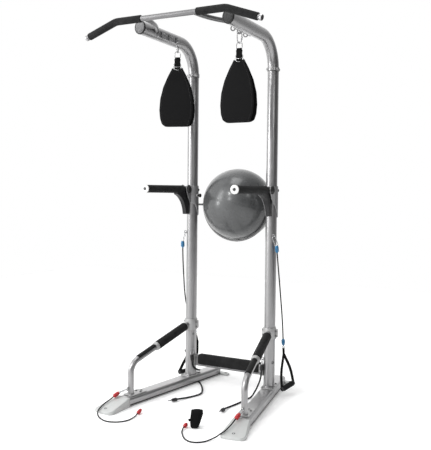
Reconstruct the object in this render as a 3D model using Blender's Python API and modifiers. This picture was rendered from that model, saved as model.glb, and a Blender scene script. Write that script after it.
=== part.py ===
"""Power tower: two bent uprights with a cranked pull-up bar, fold-up dip arms that slide on the uprights,
push-up handles, a padded foot bar, a cradled exercise ball, hanging slings and clip-on resistance cords.

Metres, +Z up. The front of the tower faces -Y, and the origin is on the floor below the middle of its box.
"""

import math

import bmesh
import bpy
from mathutils import Matrix, Quaternion, Vector

OBJECT_NAME = "power_tower"
GAP = 0.0003            # clearance between pieces that touch
WELD = 0.00005          # distance below which doubled vertices are one

# Main frame. The plan is laid out from the line between the two uprights, which lies SHIFT_Y from the origin.
SHIFT_Y = 0.2164
UPRIGHT_X = 0.272
TUBE_RX, TUBE_RY = 0.033, 0.038     # half-axes of the oval uprights and booms
TUBE_WALL = 0.0025
UPRIGHT_BOTTOM = 0.0545
SPLIT_Z = 1.945                     # the boom plugs on to the upright here
BOOM_Z = 2.128
BOOM_BEND = 0.170
BOOM_FRONT = -0.600
COLLAR_HEIGHT, COLLAR_WALL = 0.022, 0.0035
CAP_THICKNESS = 0.011

# Base runners, splayed outwards towards the front, and their feet
SPLAY = math.atan(0.165)
RUNNER_WIDTH, RUNNER_LOW, RUNNER_TOP = 0.088, 0.012, 0.052
RUNNER_FRONT, RUNNER_REAR = -0.600, 0.262
FOOT_FRONT, FOOT_HALF_WIDE, FOOT_HALF_NARROW, FOOT_RIM = -0.780, 0.072, 0.046, 0.014
REAR_FOOT_LENGTH, REAR_FOOT_HALF, REAR_FOOT_HEIGHT = 0.045, 0.095, 0.012
FLANGE = (0.078, 0.120, 0.006)

# Pull-up bar
BAR_Y, BAR_Z, BAR_R, BAR_BORE = -0.750, 2.130, 0.0145, 0.0118
BAR_BEND_X, BAR_TIP_X, BAR_TIP_Z, BAR_BEND_R = 0.329, 0.527, 2.059, 0.090
BAR_GRIP_X, BAR_GRIP_R, BAR_GRIP_INSET = 0.166, 0.0195, 0.022
BRACE_R, BRACE_ARC = 0.0130, 0.420
HOOK_YS = (-0.445, -0.365, -0.285)
HOOK_X, HOOK_Z, HOOK_MAJOR, HOOK_WIRE = 0.2215, 2.108, 0.013, 0.0035

# Push-up handles, drawn in the plane of their runner
HANDLE_R, HANDLE_WALL, HANDLE_BEND = 0.0175, 0.0025, 0.075
HANDLE_FOOT, HANDLE_SLOPE, HANDLE_KNEE_Z = 0.548, 0.294, 0.230
HANDLE_GRIPS = {"lower": (0.490, 0.345, 0.0212), "upper": (0.322, 0.062, 0.0262)}
HANDLE_CLAMP = (0.345, 0.415)
EYE_MAJOR, EYE_WIRE = 0.0080, 0.0022            # the eyes that the cords clip to
HANDLE_EYE = Vector((0.0, -HANDLE_FOOT - HANDLE_R - 0.0074, 0.090))
SIDE_EYE, FLOOR_EYE = (45, 0.968), (-45, 0.226)  # degrees outboard of straight ahead, and height

# Foot bar
FOOT_BAR_HALF_X, FOOT_BAR_HALF_Y, FOOT_BAR_LOW, FOOT_BAR_TOP = 0.2385, 0.017, 0.122, 0.182
PAD_HALF_X, PAD_HALF_Y, PAD_LOW, PAD_TOP = 0.208, 0.028, 0.134, 0.194

# Dip arms
ARM_X, PIVOT_Y, PIVOT_Z = 0.282, -0.070, 1.238
ARM_R, ARM_TIP_Y, ARM_GRIP_R, ARM_CAP_R = 0.0160, -0.524, 0.0220, 0.0250
BARREL_R, BARREL_HALF = 0.020, 0.0165
EAR_R, EAR_IN, EAR_OUT = 0.029, 0.0190, 0.0235
SLEEVE_LOW, SLEEVE_TOP, SLEEVE_TAIL = 1.150, 1.262, 1.075
SLEEVE_CLEAR, SLEEVE_WALL = 0.0008, 0.0050
GUSSET_HALF = 0.0150
PIN_Y, PIN_Z = -0.012, 1.200

# Exercise ball and its cradle
BALL_R, BALL_WALL, BALL_Y, BALL_Z = 0.2225, 0.002, 0.105, 1.148
BOW_R, BOW_Z, HOOP_AHEAD = 0.0065, 1.142, 0.035

# Slings
CARABINER_WIRE, CARABINER_HALF, CARABINER_TALL = 0.0030, 0.0150, 0.060
HOOK_SLACK = 0.0020                              # a carabiner swings this far below its hook's wire
SLING_HOOK = {-1: 2, 1: 1}                       # which hook of each boom carries the sling
CARABINER_TURN = {-1: math.radians(100), 1: math.radians(50)}
SLING_TURN = {-1: math.radians(15), 1: 0.0}
SLING_TOP, SLING_BOTTOM, SLING_DEPTH, SLING_SKIN = 1.948, 1.607, 0.060, 0.008
SLING_WIDTHS = ((1.948, 0.030), (1.905, 0.053), (1.840, 0.080), (1.770, 0.096), (1.705, 0.100),
                (1.655, 0.095), (1.622, 0.083), (1.607, 0.066))
NECK_HALF = 0.020

# Resistance cords: radius, and the route of each from its anchor to its far end, on the plan of the uprights
RED_R, BLUE_R, BLACK_R = 0.0035, 0.0040, 0.0050
ROUTES = {
    "front_cord_L": (RED_R, ((-0.4135, -0.6376, 0.0560), (-0.4200, -0.6650, 0.0455), (-0.4270, -0.7034, 0.0340),
                             (-0.4190, -0.7600, 0.0215), (-0.4010, -0.7970, 0.0095), (-0.3602, -0.8325, 0.0042),
                             (-0.3014, -0.8580, 0.0040), (-0.2450, -0.8443, 0.0040), (-0.2080, -0.7980, 0.0040),
                             (-0.2030, -0.7350, 0.0055), (-0.2090, -0.7000, 0.0100), (-0.2105, -0.6920, 0.0105))),
    "front_cord_R": (RED_R, ((0.3585, -0.6410, 0.0610), (0.3575, -0.6650, 0.0530), (0.3560, -0.6950, 0.0440),
                             (0.3480, -0.7434, 0.0290), (0.3370, -0.7710, 0.0215), (0.3216, -0.7970, 0.0095),
                             (0.2934, -0.8603, 0.0040), (0.2453, -0.8932, 0.0040), (0.1936, -0.8740, 0.0040),
                             (0.1429, -0.8151, 0.0040), (0.1230, -0.7781, 0.0060), (0.1155, -0.7520, 0.0100),
                             (0.1150, -0.7440, 0.0105))),
    "side_cord_L": (BLUE_R, ((-0.3230, -0.0290, 0.8660), (-0.3270, -0.0180, 0.7900), (-0.3300, -0.0020, 0.6900),
                             (-0.3310, 0.0130, 0.5900), (-0.3270, 0.0300, 0.5000), (-0.3130, 0.0520, 0.4250),
                             (-0.2990, 0.0680, 0.3800), (-0.2920, 0.0760, 0.3400))),
    "side_cord_R": (BLUE_R, ((0.3250, -0.0290, 0.8660), (0.3290, -0.0210, 0.7900), (0.3340, -0.0080, 0.6900),
                             (0.3380, 0.0060, 0.5900), (0.3420, 0.0170, 0.5000), (0.3450, 0.0250, 0.4200),
                             (0.3460, 0.0290, 0.3700), (0.3465, 0.0310, 0.3460))),
    "floor_cord_L": (BLACK_R, ((-0.2375, -0.0400, 0.1500), (-0.2345, -0.0350, 0.1200), (-0.2230, -0.0060, 0.0930),
                               (-0.2250, 0.0340, 0.0790), (-0.2500, 0.0640, 0.0690), (-0.2850, 0.0780, 0.0640),
                               (-0.3160, 0.0790, 0.0540), (-0.3330, 0.0740, 0.0320), (-0.3260, 0.0680, 0.0110),
                               (-0.2950, 0.0600, 0.0058), (-0.2450, 0.0400, 0.0056), (-0.1950, -0.0100, 0.0055),
                               (-0.1480, -0.0750, 0.0055), (-0.1130, -0.1350, 0.0055), (-0.0930, -0.1900, 0.0055),
                               (-0.1000, -0.2450, 0.0055), (-0.1270, -0.3080, 0.0060), (-0.1470, -0.3600, 0.0102),
                               (-0.1500, -0.3700, 0.0105))),
    "floor_cord_R": (BLACK_R, ((0.2375, -0.0400, 0.1500), (0.2350, -0.0440, 0.1100), (0.2220, -0.0540, 0.0640),
                               (0.2080, -0.0720, 0.0260), (0.2030, -0.1080, 0.0078), (0.1960, -0.1600, 0.0058),
                               (0.1880, -0.2250, 0.0055), (0.1760, -0.2950, 0.0055), (0.1660, -0.3450, 0.0060),
                               (0.1670, -0.3820, 0.0102), (0.1680, -0.3920, 0.0105))),
}
STIRRUP_L = ((-0.3920, 0.0620, 0.0360), (-0.3350, 0.1280, 0.0440))
STIRRUP_R = ((0.3540, 0.0120, 0.0450), (0.3920, 0.0880, 0.0700))
LINK_WIRE, LINK_HALF = 0.0020, 0.0072
CORD_STEP = 2.9         # distance between a cord's points, in diameters

STEEL = ("frame_steel", (0.47, 0.47, 0.48), 0.75, 0.38)
BLACK_STEEL = ("black_steel", (0.03, 0.03, 0.03), 0.5, 0.40)
FOOT_GREY = ("foot_grey", (0.62, 0.63, 0.62), 0.2, 0.50)
FOAM = ("black_foam", (0.025, 0.025, 0.027), 0.0, 0.85)
CHROME = ("chrome", (0.80, 0.80, 0.82), 1.0, 0.12)
CAP_BLACK = ("cap_black", (0.03, 0.03, 0.03), 0.0, 0.45)
CAP_GREY = ("cap_grey", (0.30, 0.30, 0.31), 0.0, 0.50)
CAP_WHITE = ("cap_white", (0.80, 0.80, 0.78), 0.0, 0.40)
BALL_SKIN = ("ball_skin", (0.12, 0.12, 0.125), 0.0, 0.30)
FABRIC = ("black_fabric", (0.02, 0.02, 0.02), 0.0, 0.90)
CORD_RUBBER = ("cord_rubber", (0.03, 0.03, 0.03), 0.0, 0.60)
RED = ("red_plastic", (0.60, 0.03, 0.04), 0.0, 0.40)
BLUE = ("blue_plastic", (0.03, 0.25, 0.55), 0.0, 0.40)


# ---------------------------------------------------------------- scene and objects

def clear_scene():
    for old in list(bpy.data.objects):
        bpy.data.objects.remove(old, do_unlink=True)


def collection(name):
    made = bpy.data.collections.new(name)
    bpy.context.scene.collection.children.link(made)
    return made


clear_scene()
PARTS = collection(OBJECT_NAME)
TOOLS = collection("cutters")
ORIGIN = Matrix.Translation((0.0, SHIFT_Y, 0.0))


def material(spec):
    name, rgb, metallic, roughness = spec
    made = bpy.data.materials.get(name)
    if made is None:
        made = bpy.data.materials.new(name)
        made.use_nodes = True
        shader = made.node_tree.nodes["Principled BSDF"]
        shader.inputs["Base Color"].default_value = (*rgb, 1.0)
        shader.inputs["Metallic"].default_value = metallic
        shader.inputs["Roughness"].default_value = roughness
        made.diffuse_color = (*rgb, 1.0)
    return made


def as_tool(mesh, place=Matrix()):
    """A mesh as an object among the cutters, placed on the plan of the uprights."""
    made = bpy.data.objects.new("tool", mesh)
    made.matrix_world = ORIGIN @ place
    made.hide_render = True
    made.display_type = "WIRE"
    TOOLS.objects.link(made)
    return made


def as_part(made, name, spec, smooth=True):
    """Turn a tool into one of the finished pieces."""
    TOOLS.objects.unlink(made)
    PARTS.objects.link(made)
    made.name = name
    made.hide_render = False
    made.display_type = "TEXTURED"
    made.data.materials.clear()
    made.data.materials.append(material(spec))
    if smooth:
        made.data.shade_smooth()
        made.data.set_sharp_from_angle(angle=math.radians(35))
    return made


def boolean(target, tool, operation):
    step = target.modifiers.new(operation.lower(), "BOOLEAN")
    step.operation = operation
    step.solver = "EXACT"
    step.object = tool
    return target


def join(target, *tools):
    for tool in tools:
        boolean(target, tool, "UNION")
    return target


def cut(target, *tools):
    for tool in tools:
        boolean(target, tool, "DIFFERENCE")
    return target


# ---------------------------------------------------------------- basic solids

def mesh_from(build):
    work = bmesh.new()
    build(work)
    mesh = bpy.data.meshes.new("mesh")
    work.to_mesh(mesh)
    work.free()
    return mesh


def lathe(profile, place=Matrix(), sides=10):
    """A closed solid turned about the Z axis of its frame, from (height, radius) pairs."""
    def build(work):
        rows = []
        for height, radius in profile:
            spots = [2 * math.pi * i / sides for i in range(sides)]
            rows.append([work.verts.new((radius * math.cos(a), radius * math.sin(a), height)) for a in spots])
        for low, high in zip(rows, rows[1:]):
            for i in range(sides):
                j = (i + 1) % sides
                work.faces.new((low[i], low[j], high[j], high[i]))
        work.faces.new(rows[0][::-1])
        work.faces.new(rows[-1])
    return as_tool(mesh_from(build), place)


def box(low, high, place=Matrix()):
    low, high = Vector(low), Vector(high)
    shape = Matrix.Translation((low + high) / 2) @ Matrix.Diagonal((*(high - low), 1.0))
    return as_tool(mesh_from(lambda work: bmesh.ops.create_cube(work, size=1.0, matrix=shape)), place)


def aim(start, end):
    """A frame at the middle of start-end whose Z points from start to end."""
    start, end = Vector(start), Vector(end)
    return Matrix.Translation((start + end) / 2) @ (end - start).to_track_quat("Z", "Y").to_matrix().to_4x4()


def cone(start, end, radius, far_radius=None, sides=16, place=Matrix()):
    length = (Vector(end) - Vector(start)).length
    far = radius if far_radius is None else far_radius
    mesh = mesh_from(lambda work: bmesh.ops.create_cone(work, cap_ends=True, segments=sides, radius1=radius,
                                                        radius2=far, depth=length, matrix=aim(start, end)))
    return as_tool(mesh, place)


def oval(low_z, high_z, grow, sides=24, centre_x=0.0, centre_y=0.0):
    """An upright oval cylinder, larger than the frame tube by grow all round."""
    shape = Matrix.Translation((centre_x, centre_y, (low_z + high_z) / 2))
    shape = shape @ Matrix.Diagonal((TUBE_RX + grow, TUBE_RY + grow, high_z - low_z, 1.0))
    mesh = mesh_from(lambda work: bmesh.ops.create_cone(work, cap_ends=True, segments=sides, radius1=1.0,
                                                        radius2=1.0, depth=1.0, matrix=shape))
    return as_tool(mesh)


def ring(centre, major, wire, place=Matrix(), segments=10, sides=6):
    """A torus about the Z axis of its own frame."""
    bpy.ops.mesh.primitive_torus_add(major_radius=major, minor_radius=wire, major_segments=segments,
                                     minor_segments=sides)
    made = bpy.context.active_object
    mesh = made.data
    bpy.data.objects.remove(made)
    return as_tool(mesh, Matrix.Translation(centre) @ place)


def outline_solid(outlines, half_thickness, place=Matrix(), filled=True):
    """Closed flat outlines extruded both ways; later outlines are holes. Unfilled, only the walls are made."""
    curve = bpy.data.curves.new("outline", "CURVE")
    curve.dimensions = "2D"
    curve.fill_mode = "BOTH" if filled else "NONE"
    curve.extrude = half_thickness
    for outline in outlines:
        add_spline(curve, [(x, y, 0.0) for x, y in outline], True)
    return as_tool(curve_mesh(curve), place)


# ---------------------------------------------------------------- paths and pipes

def add_spline(curve, points, cyclic):
    spline = curve.splines.new("POLY")
    spline.points.add(len(points) - 1)
    for slot, point in zip(spline.points, points):
        slot.co = (*point, 1.0)
    spline.use_cyclic_u = cyclic


def curve_mesh(curve):
    holder = bpy.data.objects.new("curve", curve)
    TOOLS.objects.link(holder)
    graph = bpy.context.evaluated_depsgraph_get()
    mesh = bpy.data.meshes.new_from_object(holder.evaluated_get(graph))
    bpy.data.objects.remove(holder)
    work = bmesh.new()
    work.from_mesh(mesh)
    bmesh.ops.remove_doubles(work, verts=work.verts, dist=WELD)
    bmesh.ops.recalc_face_normals(work, faces=work.faces)
    work.to_mesh(mesh)
    work.free()
    return mesh


def pipe_mesh(points, radius, resolution, caps=True, cyclic=False):
    curve = bpy.data.curves.new("pipe", "CURVE")
    curve.dimensions = "3D"
    curve.bevel_depth = radius
    curve.bevel_resolution = resolution
    curve.use_fill_caps = caps
    add_spline(curve, [tuple(point) for point in points], cyclic)
    return curve_mesh(curve)


def rod(points, radius, resolution=4, place=Matrix(), cyclic=False):
    return as_tool(pipe_mesh(points, radius, resolution, True, cyclic), place)


def hollow(made, wall):
    """Give an open-ended skin its wall, inwards."""
    step = made.modifiers.new("wall", "SOLIDIFY")
    step.thickness = wall
    step.offset = -1.0
    return made


def arc(centre, radius, start_deg, end_deg, steps):
    angles = [math.radians(start_deg + (end_deg - start_deg) * i / steps) for i in range(steps + 1)]
    return [(centre[0] + radius * math.cos(a), centre[1] + radius * math.sin(a)) for a in angles]


def fillet(points, radii, steps, closed=False):
    """A polyline with its corners rounded. A radius of zero keeps a corner."""
    points = [Vector(point) for point in points]
    out = []
    for i, point in enumerate(points):
        if not closed and i in (0, len(points) - 1) or radii[i] == 0:
            out.append(tuple(point))
            continue
        before = (points[i - 1] - point).normalized()
        after = (points[(i + 1) % len(points)] - point).normalized()
        half = before.angle(after) / 2
        centre = point + (before + after).normalized() * radii[i] / math.sin(half)
        start, end = (point + side * radii[i] / math.tan(half) for side in (before, after))
        first = start - centre
        turn = first.rotation_difference(end - centre) if len(point) == 3 else None
        for k in range(steps + 1):
            out.append(tuple(centre + swing(first, end - centre, turn, k / steps)))
    return out


def swing(first, last, turn, part):
    """The arm of an arc, a given part of the way from first to last."""
    if turn is None:
        return Matrix.Rotation(first.angle_signed(last) * -part, 2) @ first
    arm = first.copy()
    arm.rotate(Quaternion().slerp(turn, part))
    return arm


def smooth_route(points, spacing):
    """Points at an even spacing along a Catmull-Rom curve through the given ones."""
    knots = [Vector(point) for point in points]
    knots = [2 * knots[0] - knots[1]] + knots + [2 * knots[-1] - knots[-2]]
    fine = []
    for a, b, c, d in zip(knots, knots[1:], knots[2:], knots[3:]):
        for k in range(16):
            t = k / 16
            fine.append(0.5 * (2 * b + (c - a) * t + (2 * a - 5 * b + 4 * c - d) * t ** 2
                               + (3 * b - a - 3 * c + d) * t ** 3))
    fine.append(knots[-2])
    lengths = [0.0]
    for a, b in zip(fine, fine[1:]):
        lengths.append(lengths[-1] + (b - a).length)
    count = max(4, round(lengths[-1] / spacing))
    return [point_at(fine, lengths, lengths[-1] * i / count) for i in range(count + 1)]


def point_at(fine, lengths, distance):
    for i in range(1, len(fine)):
        if lengths[i] >= distance - 1e-9:
            part = (distance - lengths[i - 1]) / (lengths[i] - lengths[i - 1])
            return fine[i - 1].lerp(fine[i], part)
    return fine[-1]


def side_name(side):
    return "R" if side > 0 else "L"


def runner_frame(side):
    """The frame of one runner: its origin under the upright, -Y along the runner to the front."""
    return Matrix.Translation((side * UPRIGHT_X, 0.0, 0.0)) @ Matrix.Rotation(side * SPLAY, 4, "Z")


def turned_to(normal, up="Y"):
    return Vector(normal).to_track_quat("Z", up).to_matrix().to_4x4()


# ---------------------------------------------------------------- base

def runner(side):
    half = RUNNER_WIDTH / 2
    corners = [(-half, RUNNER_LOW), (half, RUNNER_LOW), (half, RUNNER_TOP), (-half, RUNNER_TOP)]
    outline = fillet(corners, (0.005, 0.005, 0.016, 0.016), 4, closed=True)
    stand = Matrix.Translation((0, (RUNNER_FRONT + RUNNER_REAR) / 2, 0)) @ Matrix.Rotation(math.pi / 2, 4, "X")
    skin = outline_solid([outline], (RUNNER_REAR - RUNNER_FRONT) / 2, runner_frame(side) @ stand, filled=False)
    return as_part(join(hollow(skin, 0.0022), *rear_foot(side)), f"runner_{side_name(side)}", STEEL)


def front_foot(side):
    rear = RUNNER_FRONT - GAP
    corners = [(-FOOT_HALF_NARROW, rear), (-FOOT_HALF_WIDE, FOOT_FRONT), (FOOT_HALF_WIDE, FOOT_FRONT),
               (FOOT_HALF_NARROW, rear)]
    outline = fillet(corners, (0.0, 0.036, 0.036, 0.0), 5, closed=True)
    frame = runner_frame(side)
    lift = Matrix.Translation((0, 0, RUNNER_TOP / 2))
    foot = outline_solid([outline], RUNNER_TOP / 2, frame @ lift)
    slope = math.atan((RUNNER_TOP - FOOT_RIM) / (rear - FOOT_FRONT))
    ramp = Matrix.Translation((0, rear, RUNNER_TOP)) @ Matrix.Rotation(slope, 4, "X")
    cut(foot, box((-0.12, -0.30, 0.0), (0.12, 0.05, 0.10), frame @ ramp))
    cut(foot, cone((0, FOOT_FRONT + 0.035, -0.01), (0, FOOT_FRONT + 0.035, 0.06), 0.0055, sides=12, place=frame))
    return as_part(foot, f"front_foot_{side_name(side)}", FOOT_GREY, smooth=False)


def rear_foot(side):
    near = RUNNER_REAR - 0.0012
    far = near + REAR_FOOT_LENGTH
    corners = [(-REAR_FOOT_HALF, far), (-REAR_FOOT_HALF, near), (REAR_FOOT_HALF, near), (REAR_FOOT_HALF, far)]
    outline = fillet(corners, (0.020, 0.012, 0.012, 0.020), 4, closed=True)
    lift = Matrix.Translation((0, 0, REAR_FOOT_HEIGHT / 2))
    frame = runner_frame(side)
    foot = outline_solid([outline], REAR_FOOT_HEIGHT / 2, frame @ lift)
    return foot, box((-0.040, near, 0.004), (0.040, near + 0.006, 0.048), frame)


# ---------------------------------------------------------------- uprights and booms

def surface_direction(side, degrees):
    """A point on an upright's surface and the way out of it, degrees outboard of straight ahead."""
    a = math.radians(degrees)
    out = Vector((side * math.sin(a), -math.cos(a), 0.0))
    reach = 1.0 / math.hypot(out.x / TUBE_RX, out.y / TUBE_RY)
    return Vector((side * UPRIGHT_X, 0.0, 0.0)) + out * reach, out


def eye_centre(side, degrees, height):
    start, out = surface_direction(side, degrees)
    return start + out * (EYE_MAJOR + 0.0006) + Vector((0, 0, height)), out


def eye_bolt(side, degrees, height):
    centre, out = eye_centre(side, degrees, height)
    return ring(centre, EYE_MAJOR, EYE_WIRE, turned_to(out.cross((0, 0, 1))))


def upright(side):
    path = [(0, 0, UPRIGHT_BOTTOM), (0, 0, SPLIT_Z)]
    mesh = pipe_mesh(path, TUBE_RY, 6, caps=False)
    mesh.transform(Matrix.Diagonal((TUBE_RX / TUBE_RY, 1.0, 1.0, 1.0)))
    tube = hollow(as_tool(mesh, Matrix.Translation((side * UPRIGHT_X, 0, 0))), TUBE_WALL)
    wide, deep, thick = FLANGE
    low = RUNNER_TOP + GAP
    plate = box((-wide / 2, -deep / 2, low), (wide / 2, deep / 2, low + thick), runner_frame(side))
    join(tube, plate, eye_bolt(side, *SIDE_EYE), eye_bolt(side, *FLOOR_EYE))
    return as_part(tube, f"upright_{side_name(side)}", STEEL)


def boom(side):
    bend = arc((-BOOM_BEND, BOOM_Z - BOOM_BEND), BOOM_BEND, 0, 90, 7)
    path = [(0, 0, SPLIT_Z + GAP)] + [(0, y, z) for y, z in bend] + [(0, BOOM_FRONT, BOOM_Z)]
    mesh = pipe_mesh(path, TUBE_RY, 6, caps=False)
    mesh.transform(Matrix.Diagonal((TUBE_RX / TUBE_RY, 1.0, 1.0, 1.0)))
    tube = hollow(as_tool(mesh, Matrix.Translation((side * UPRIGHT_X, 0, 0))), TUBE_WALL)
    low = SPLIT_Z + GAP
    collar = oval(low, low + COLLAR_HEIGHT, COLLAR_WALL, centre_x=side * UPRIGHT_X)
    cut(collar, oval(low - 0.01, low + COLLAR_HEIGHT + 0.01, -0.001, centre_x=side * UPRIGHT_X))
    wall = side * (UPRIGHT_X - TUBE_RX)
    plate = box((wall - 0.0035, HOOK_YS[0] - 0.030, 2.100), (wall + 0.0035, HOOK_YS[-1] + 0.030, 2.140))
    join(tube, collar, plate)
    for y in HOOK_YS:
        join(tube, ring((side * HOOK_X, y, HOOK_Z), HOOK_MAJOR, HOOK_WIRE, Matrix.Rotation(math.pi / 2, 4, "X")))
    return as_part(tube, f"boom_{side_name(side)}", STEEL)


def lying_oval(side, front, rear, grow, taper=1.0):
    """An oval cylinder along one boom, larger than the tube by grow; its front face may be smaller."""
    shape = Matrix.Translation((side * UPRIGHT_X, (front + rear) / 2, BOOM_Z)) @ Matrix.Rotation(math.pi / 2, 4, "X")
    shape = shape @ Matrix.Diagonal((TUBE_RX + grow, TUBE_RY + grow, rear - front, 1.0))
    return as_tool(mesh_from(lambda work: bmesh.ops.create_cone(work, cap_ends=True, segments=24, radius1=1.0,
                                                                radius2=taper, depth=1.0, matrix=shape)))


def boom_cap(side):
    front = BOOM_FRONT - GAP
    cap = lying_oval(side, front - CAP_THICKNESS, front, 0.0, 0.93)
    join(cap, lying_oval(side, front - 0.002, front + 0.028, -TUBE_WALL - 0.0012))
    return as_part(cap, f"boom_cap_{side_name(side)}", CAP_BLACK if side > 0 else CAP_GREY)


# ---------------------------------------------------------------- pull-up bar

def bar_path():
    """The bar's centreline, left tip to right tip."""
    corners = [(-BAR_TIP_X, BAR_Y, BAR_TIP_Z), (-BAR_BEND_X, BAR_Y, BAR_Z), (BAR_BEND_X, BAR_Y, BAR_Z),
               (BAR_TIP_X, BAR_Y, BAR_TIP_Z)]
    return fillet(corners, (0, BAR_BEND_R, BAR_BEND_R, 0), 5)


def pull_up_bar():
    bar = hollow(as_tool(pipe_mesh(bar_path(), BAR_R, 4, caps=False)), BAR_R - BAR_BORE)
    start = BAR_GRIP_X - 0.016
    end = math.acos(1 - (UPRIGHT_X - TUBE_RX + 0.004 - start) / BRACE_ARC)
    for side in (-1, 1):
        angles = [end * i / 7 for i in range(8)]
        path = [(side * (start + BRACE_ARC * (1 - math.cos(a))), BAR_Y + BRACE_ARC * math.sin(a), BAR_Z) for a in angles]
        path[0] = (side * start, BAR_Y + BAR_R - 0.0015, BAR_Z)
        join(bar, rod(path, BRACE_R, 2))
        cut(bar, lying_oval(side, BOOM_FRONT, -0.400, GAP * 2))
    return as_part(bar, "pull_up_bar", STEEL)


def bar_grip(side):
    points = [Vector(point) for point in bar_path()][::side]
    points = [point for point in points if side * point.x > BAR_GRIP_X]
    points[-1] -= (points[-1] - points[-2]).normalized() * BAR_GRIP_INSET
    start = Vector((side * BAR_GRIP_X, BAR_Y, BAR_Z))
    skin = as_tool(pipe_mesh([start] + points, BAR_GRIP_R, 4, caps=False))
    hollow(skin, BAR_GRIP_R - BAR_R - 0.0006)
    return as_part(cut(skin, brace_room(side)), f"bar_grip_{side_name(side)}", FOAM)


def brace_room(side):
    """Room for the brace where it leaves the bar beside the grip's inner end."""
    x = side * (BAR_GRIP_X - 0.016)
    return cone((x, BAR_Y, BAR_Z), (x + side * 0.002, BAR_Y + 0.06, BAR_Z), BRACE_R + 0.0012)


# ---------------------------------------------------------------- push-up handles

def handle_height(run):
    """Height of the sloping part of a handle at a distance in front of the upright."""
    return HANDLE_KNEE_Z + HANDLE_SLOPE * (HANDLE_FOOT - run)


def push_up_handle(side):
    frame = runner_frame(side)
    low = RUNNER_TOP + GAP
    corners = [(0, -HANDLE_FOOT, low + 0.002), (0, -HANDLE_FOOT, HANDLE_KNEE_Z), (0, -0.030, handle_height(0.030))]
    path = fillet(corners, (0, HANDLE_BEND, 0), 6)
    tube = hollow(as_tool(pipe_mesh(path, HANDLE_R, 4, caps=False), frame), HANDLE_WALL)
    saddle = box((-0.033, -HANDLE_FOOT - 0.030, low), (0.033, -HANDLE_FOOT + 0.105, low + 0.005), frame)
    clamp_low, clamp_top = HANDLE_CLAMP
    clamp = oval(clamp_low, clamp_top, 0.0055, centre_x=side * UPRIGHT_X)
    eye = ring(frame @ HANDLE_EYE, EYE_MAJOR, EYE_WIRE, frame.to_3x3().to_4x4() @ Matrix.Rotation(math.pi / 2, 4, "Y"))
    join(tube, saddle, clamp, eye)
    cut(tube, oval(clamp_low - 0.05, clamp_top + 0.05, 0.0008, centre_x=side * UPRIGHT_X))
    cut(tube, cone((0, -HANDLE_FOOT, 0.04), (0, -HANDLE_FOOT, 0.07), 0.010, sides=10, place=frame))
    return as_part(tube, f"push_up_handle_{side_name(side)}", STEEL)


def handle_grip(side, which):
    front, rear, radius = HANDLE_GRIPS[which]
    path = [(0, -run, handle_height(run)) for run in (front, rear)]
    skin = as_tool(pipe_mesh(path, radius, 4, caps=False), runner_frame(side))
    hollow(skin, radius - HANDLE_R - 0.0006)
    return as_part(skin, f"handle_grip_{which}_{side_name(side)}", FOAM)


# ---------------------------------------------------------------- foot bar

def lying_along_x(half_x, outlines, filled):
    """Outlines given in (y, z), extruded along X."""
    place = Matrix.Rotation(math.pi / 2, 4, "Z") @ Matrix.Rotation(math.pi / 2, 4, "X")
    return outline_solid(outlines, half_x, place, filled)


def foot_bar():
    y, low, top = FOOT_BAR_HALF_Y, FOOT_BAR_LOW, FOOT_BAR_TOP
    outline = fillet([(-y, low), (y, low), (y, top), (-y, top)], (0.006,) * 4, 3, closed=True)
    return as_part(hollow(lying_along_x(FOOT_BAR_HALF_X, [outline], False), 0.0022), "foot_bar", STEEL)


def foot_bar_pad():
    y, inner = PAD_HALF_Y, FOOT_BAR_HALF_Y + 0.0005
    top = FOOT_BAR_TOP + 0.0005
    corners = [(-y, PAD_LOW), (-inner, PAD_LOW), (-inner, top), (inner, top), (inner, PAD_LOW), (y, PAD_LOW),
               (y, PAD_TOP), (-y, PAD_TOP)]
    outline = fillet(corners, (0, 0, 0, 0, 0, 0, 0.020, 0.020), 5, closed=True)
    return as_part(lying_along_x(PAD_HALF_X, [outline], True), "foot_bar_pad", FOAM)


# ---------------------------------------------------------------- dip arms

def arm_point(side, y, z, x=0.0):
    return (side * ARM_X + x, y, z)


def side_plate(side, outline, x_low, x_high):
    """An outline in (y, z) made into a plate between two X positions of the arm."""
    middle = side * ARM_X + (x_low + x_high) / 2
    place = Matrix.Translation((middle, 0, 0)) @ Matrix.Rotation(math.pi / 2, 4, "Z")
    place = place @ Matrix.Rotation(math.pi / 2, 4, "X")
    return outline_solid([outline], (x_high - x_low) / 2, place)


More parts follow.
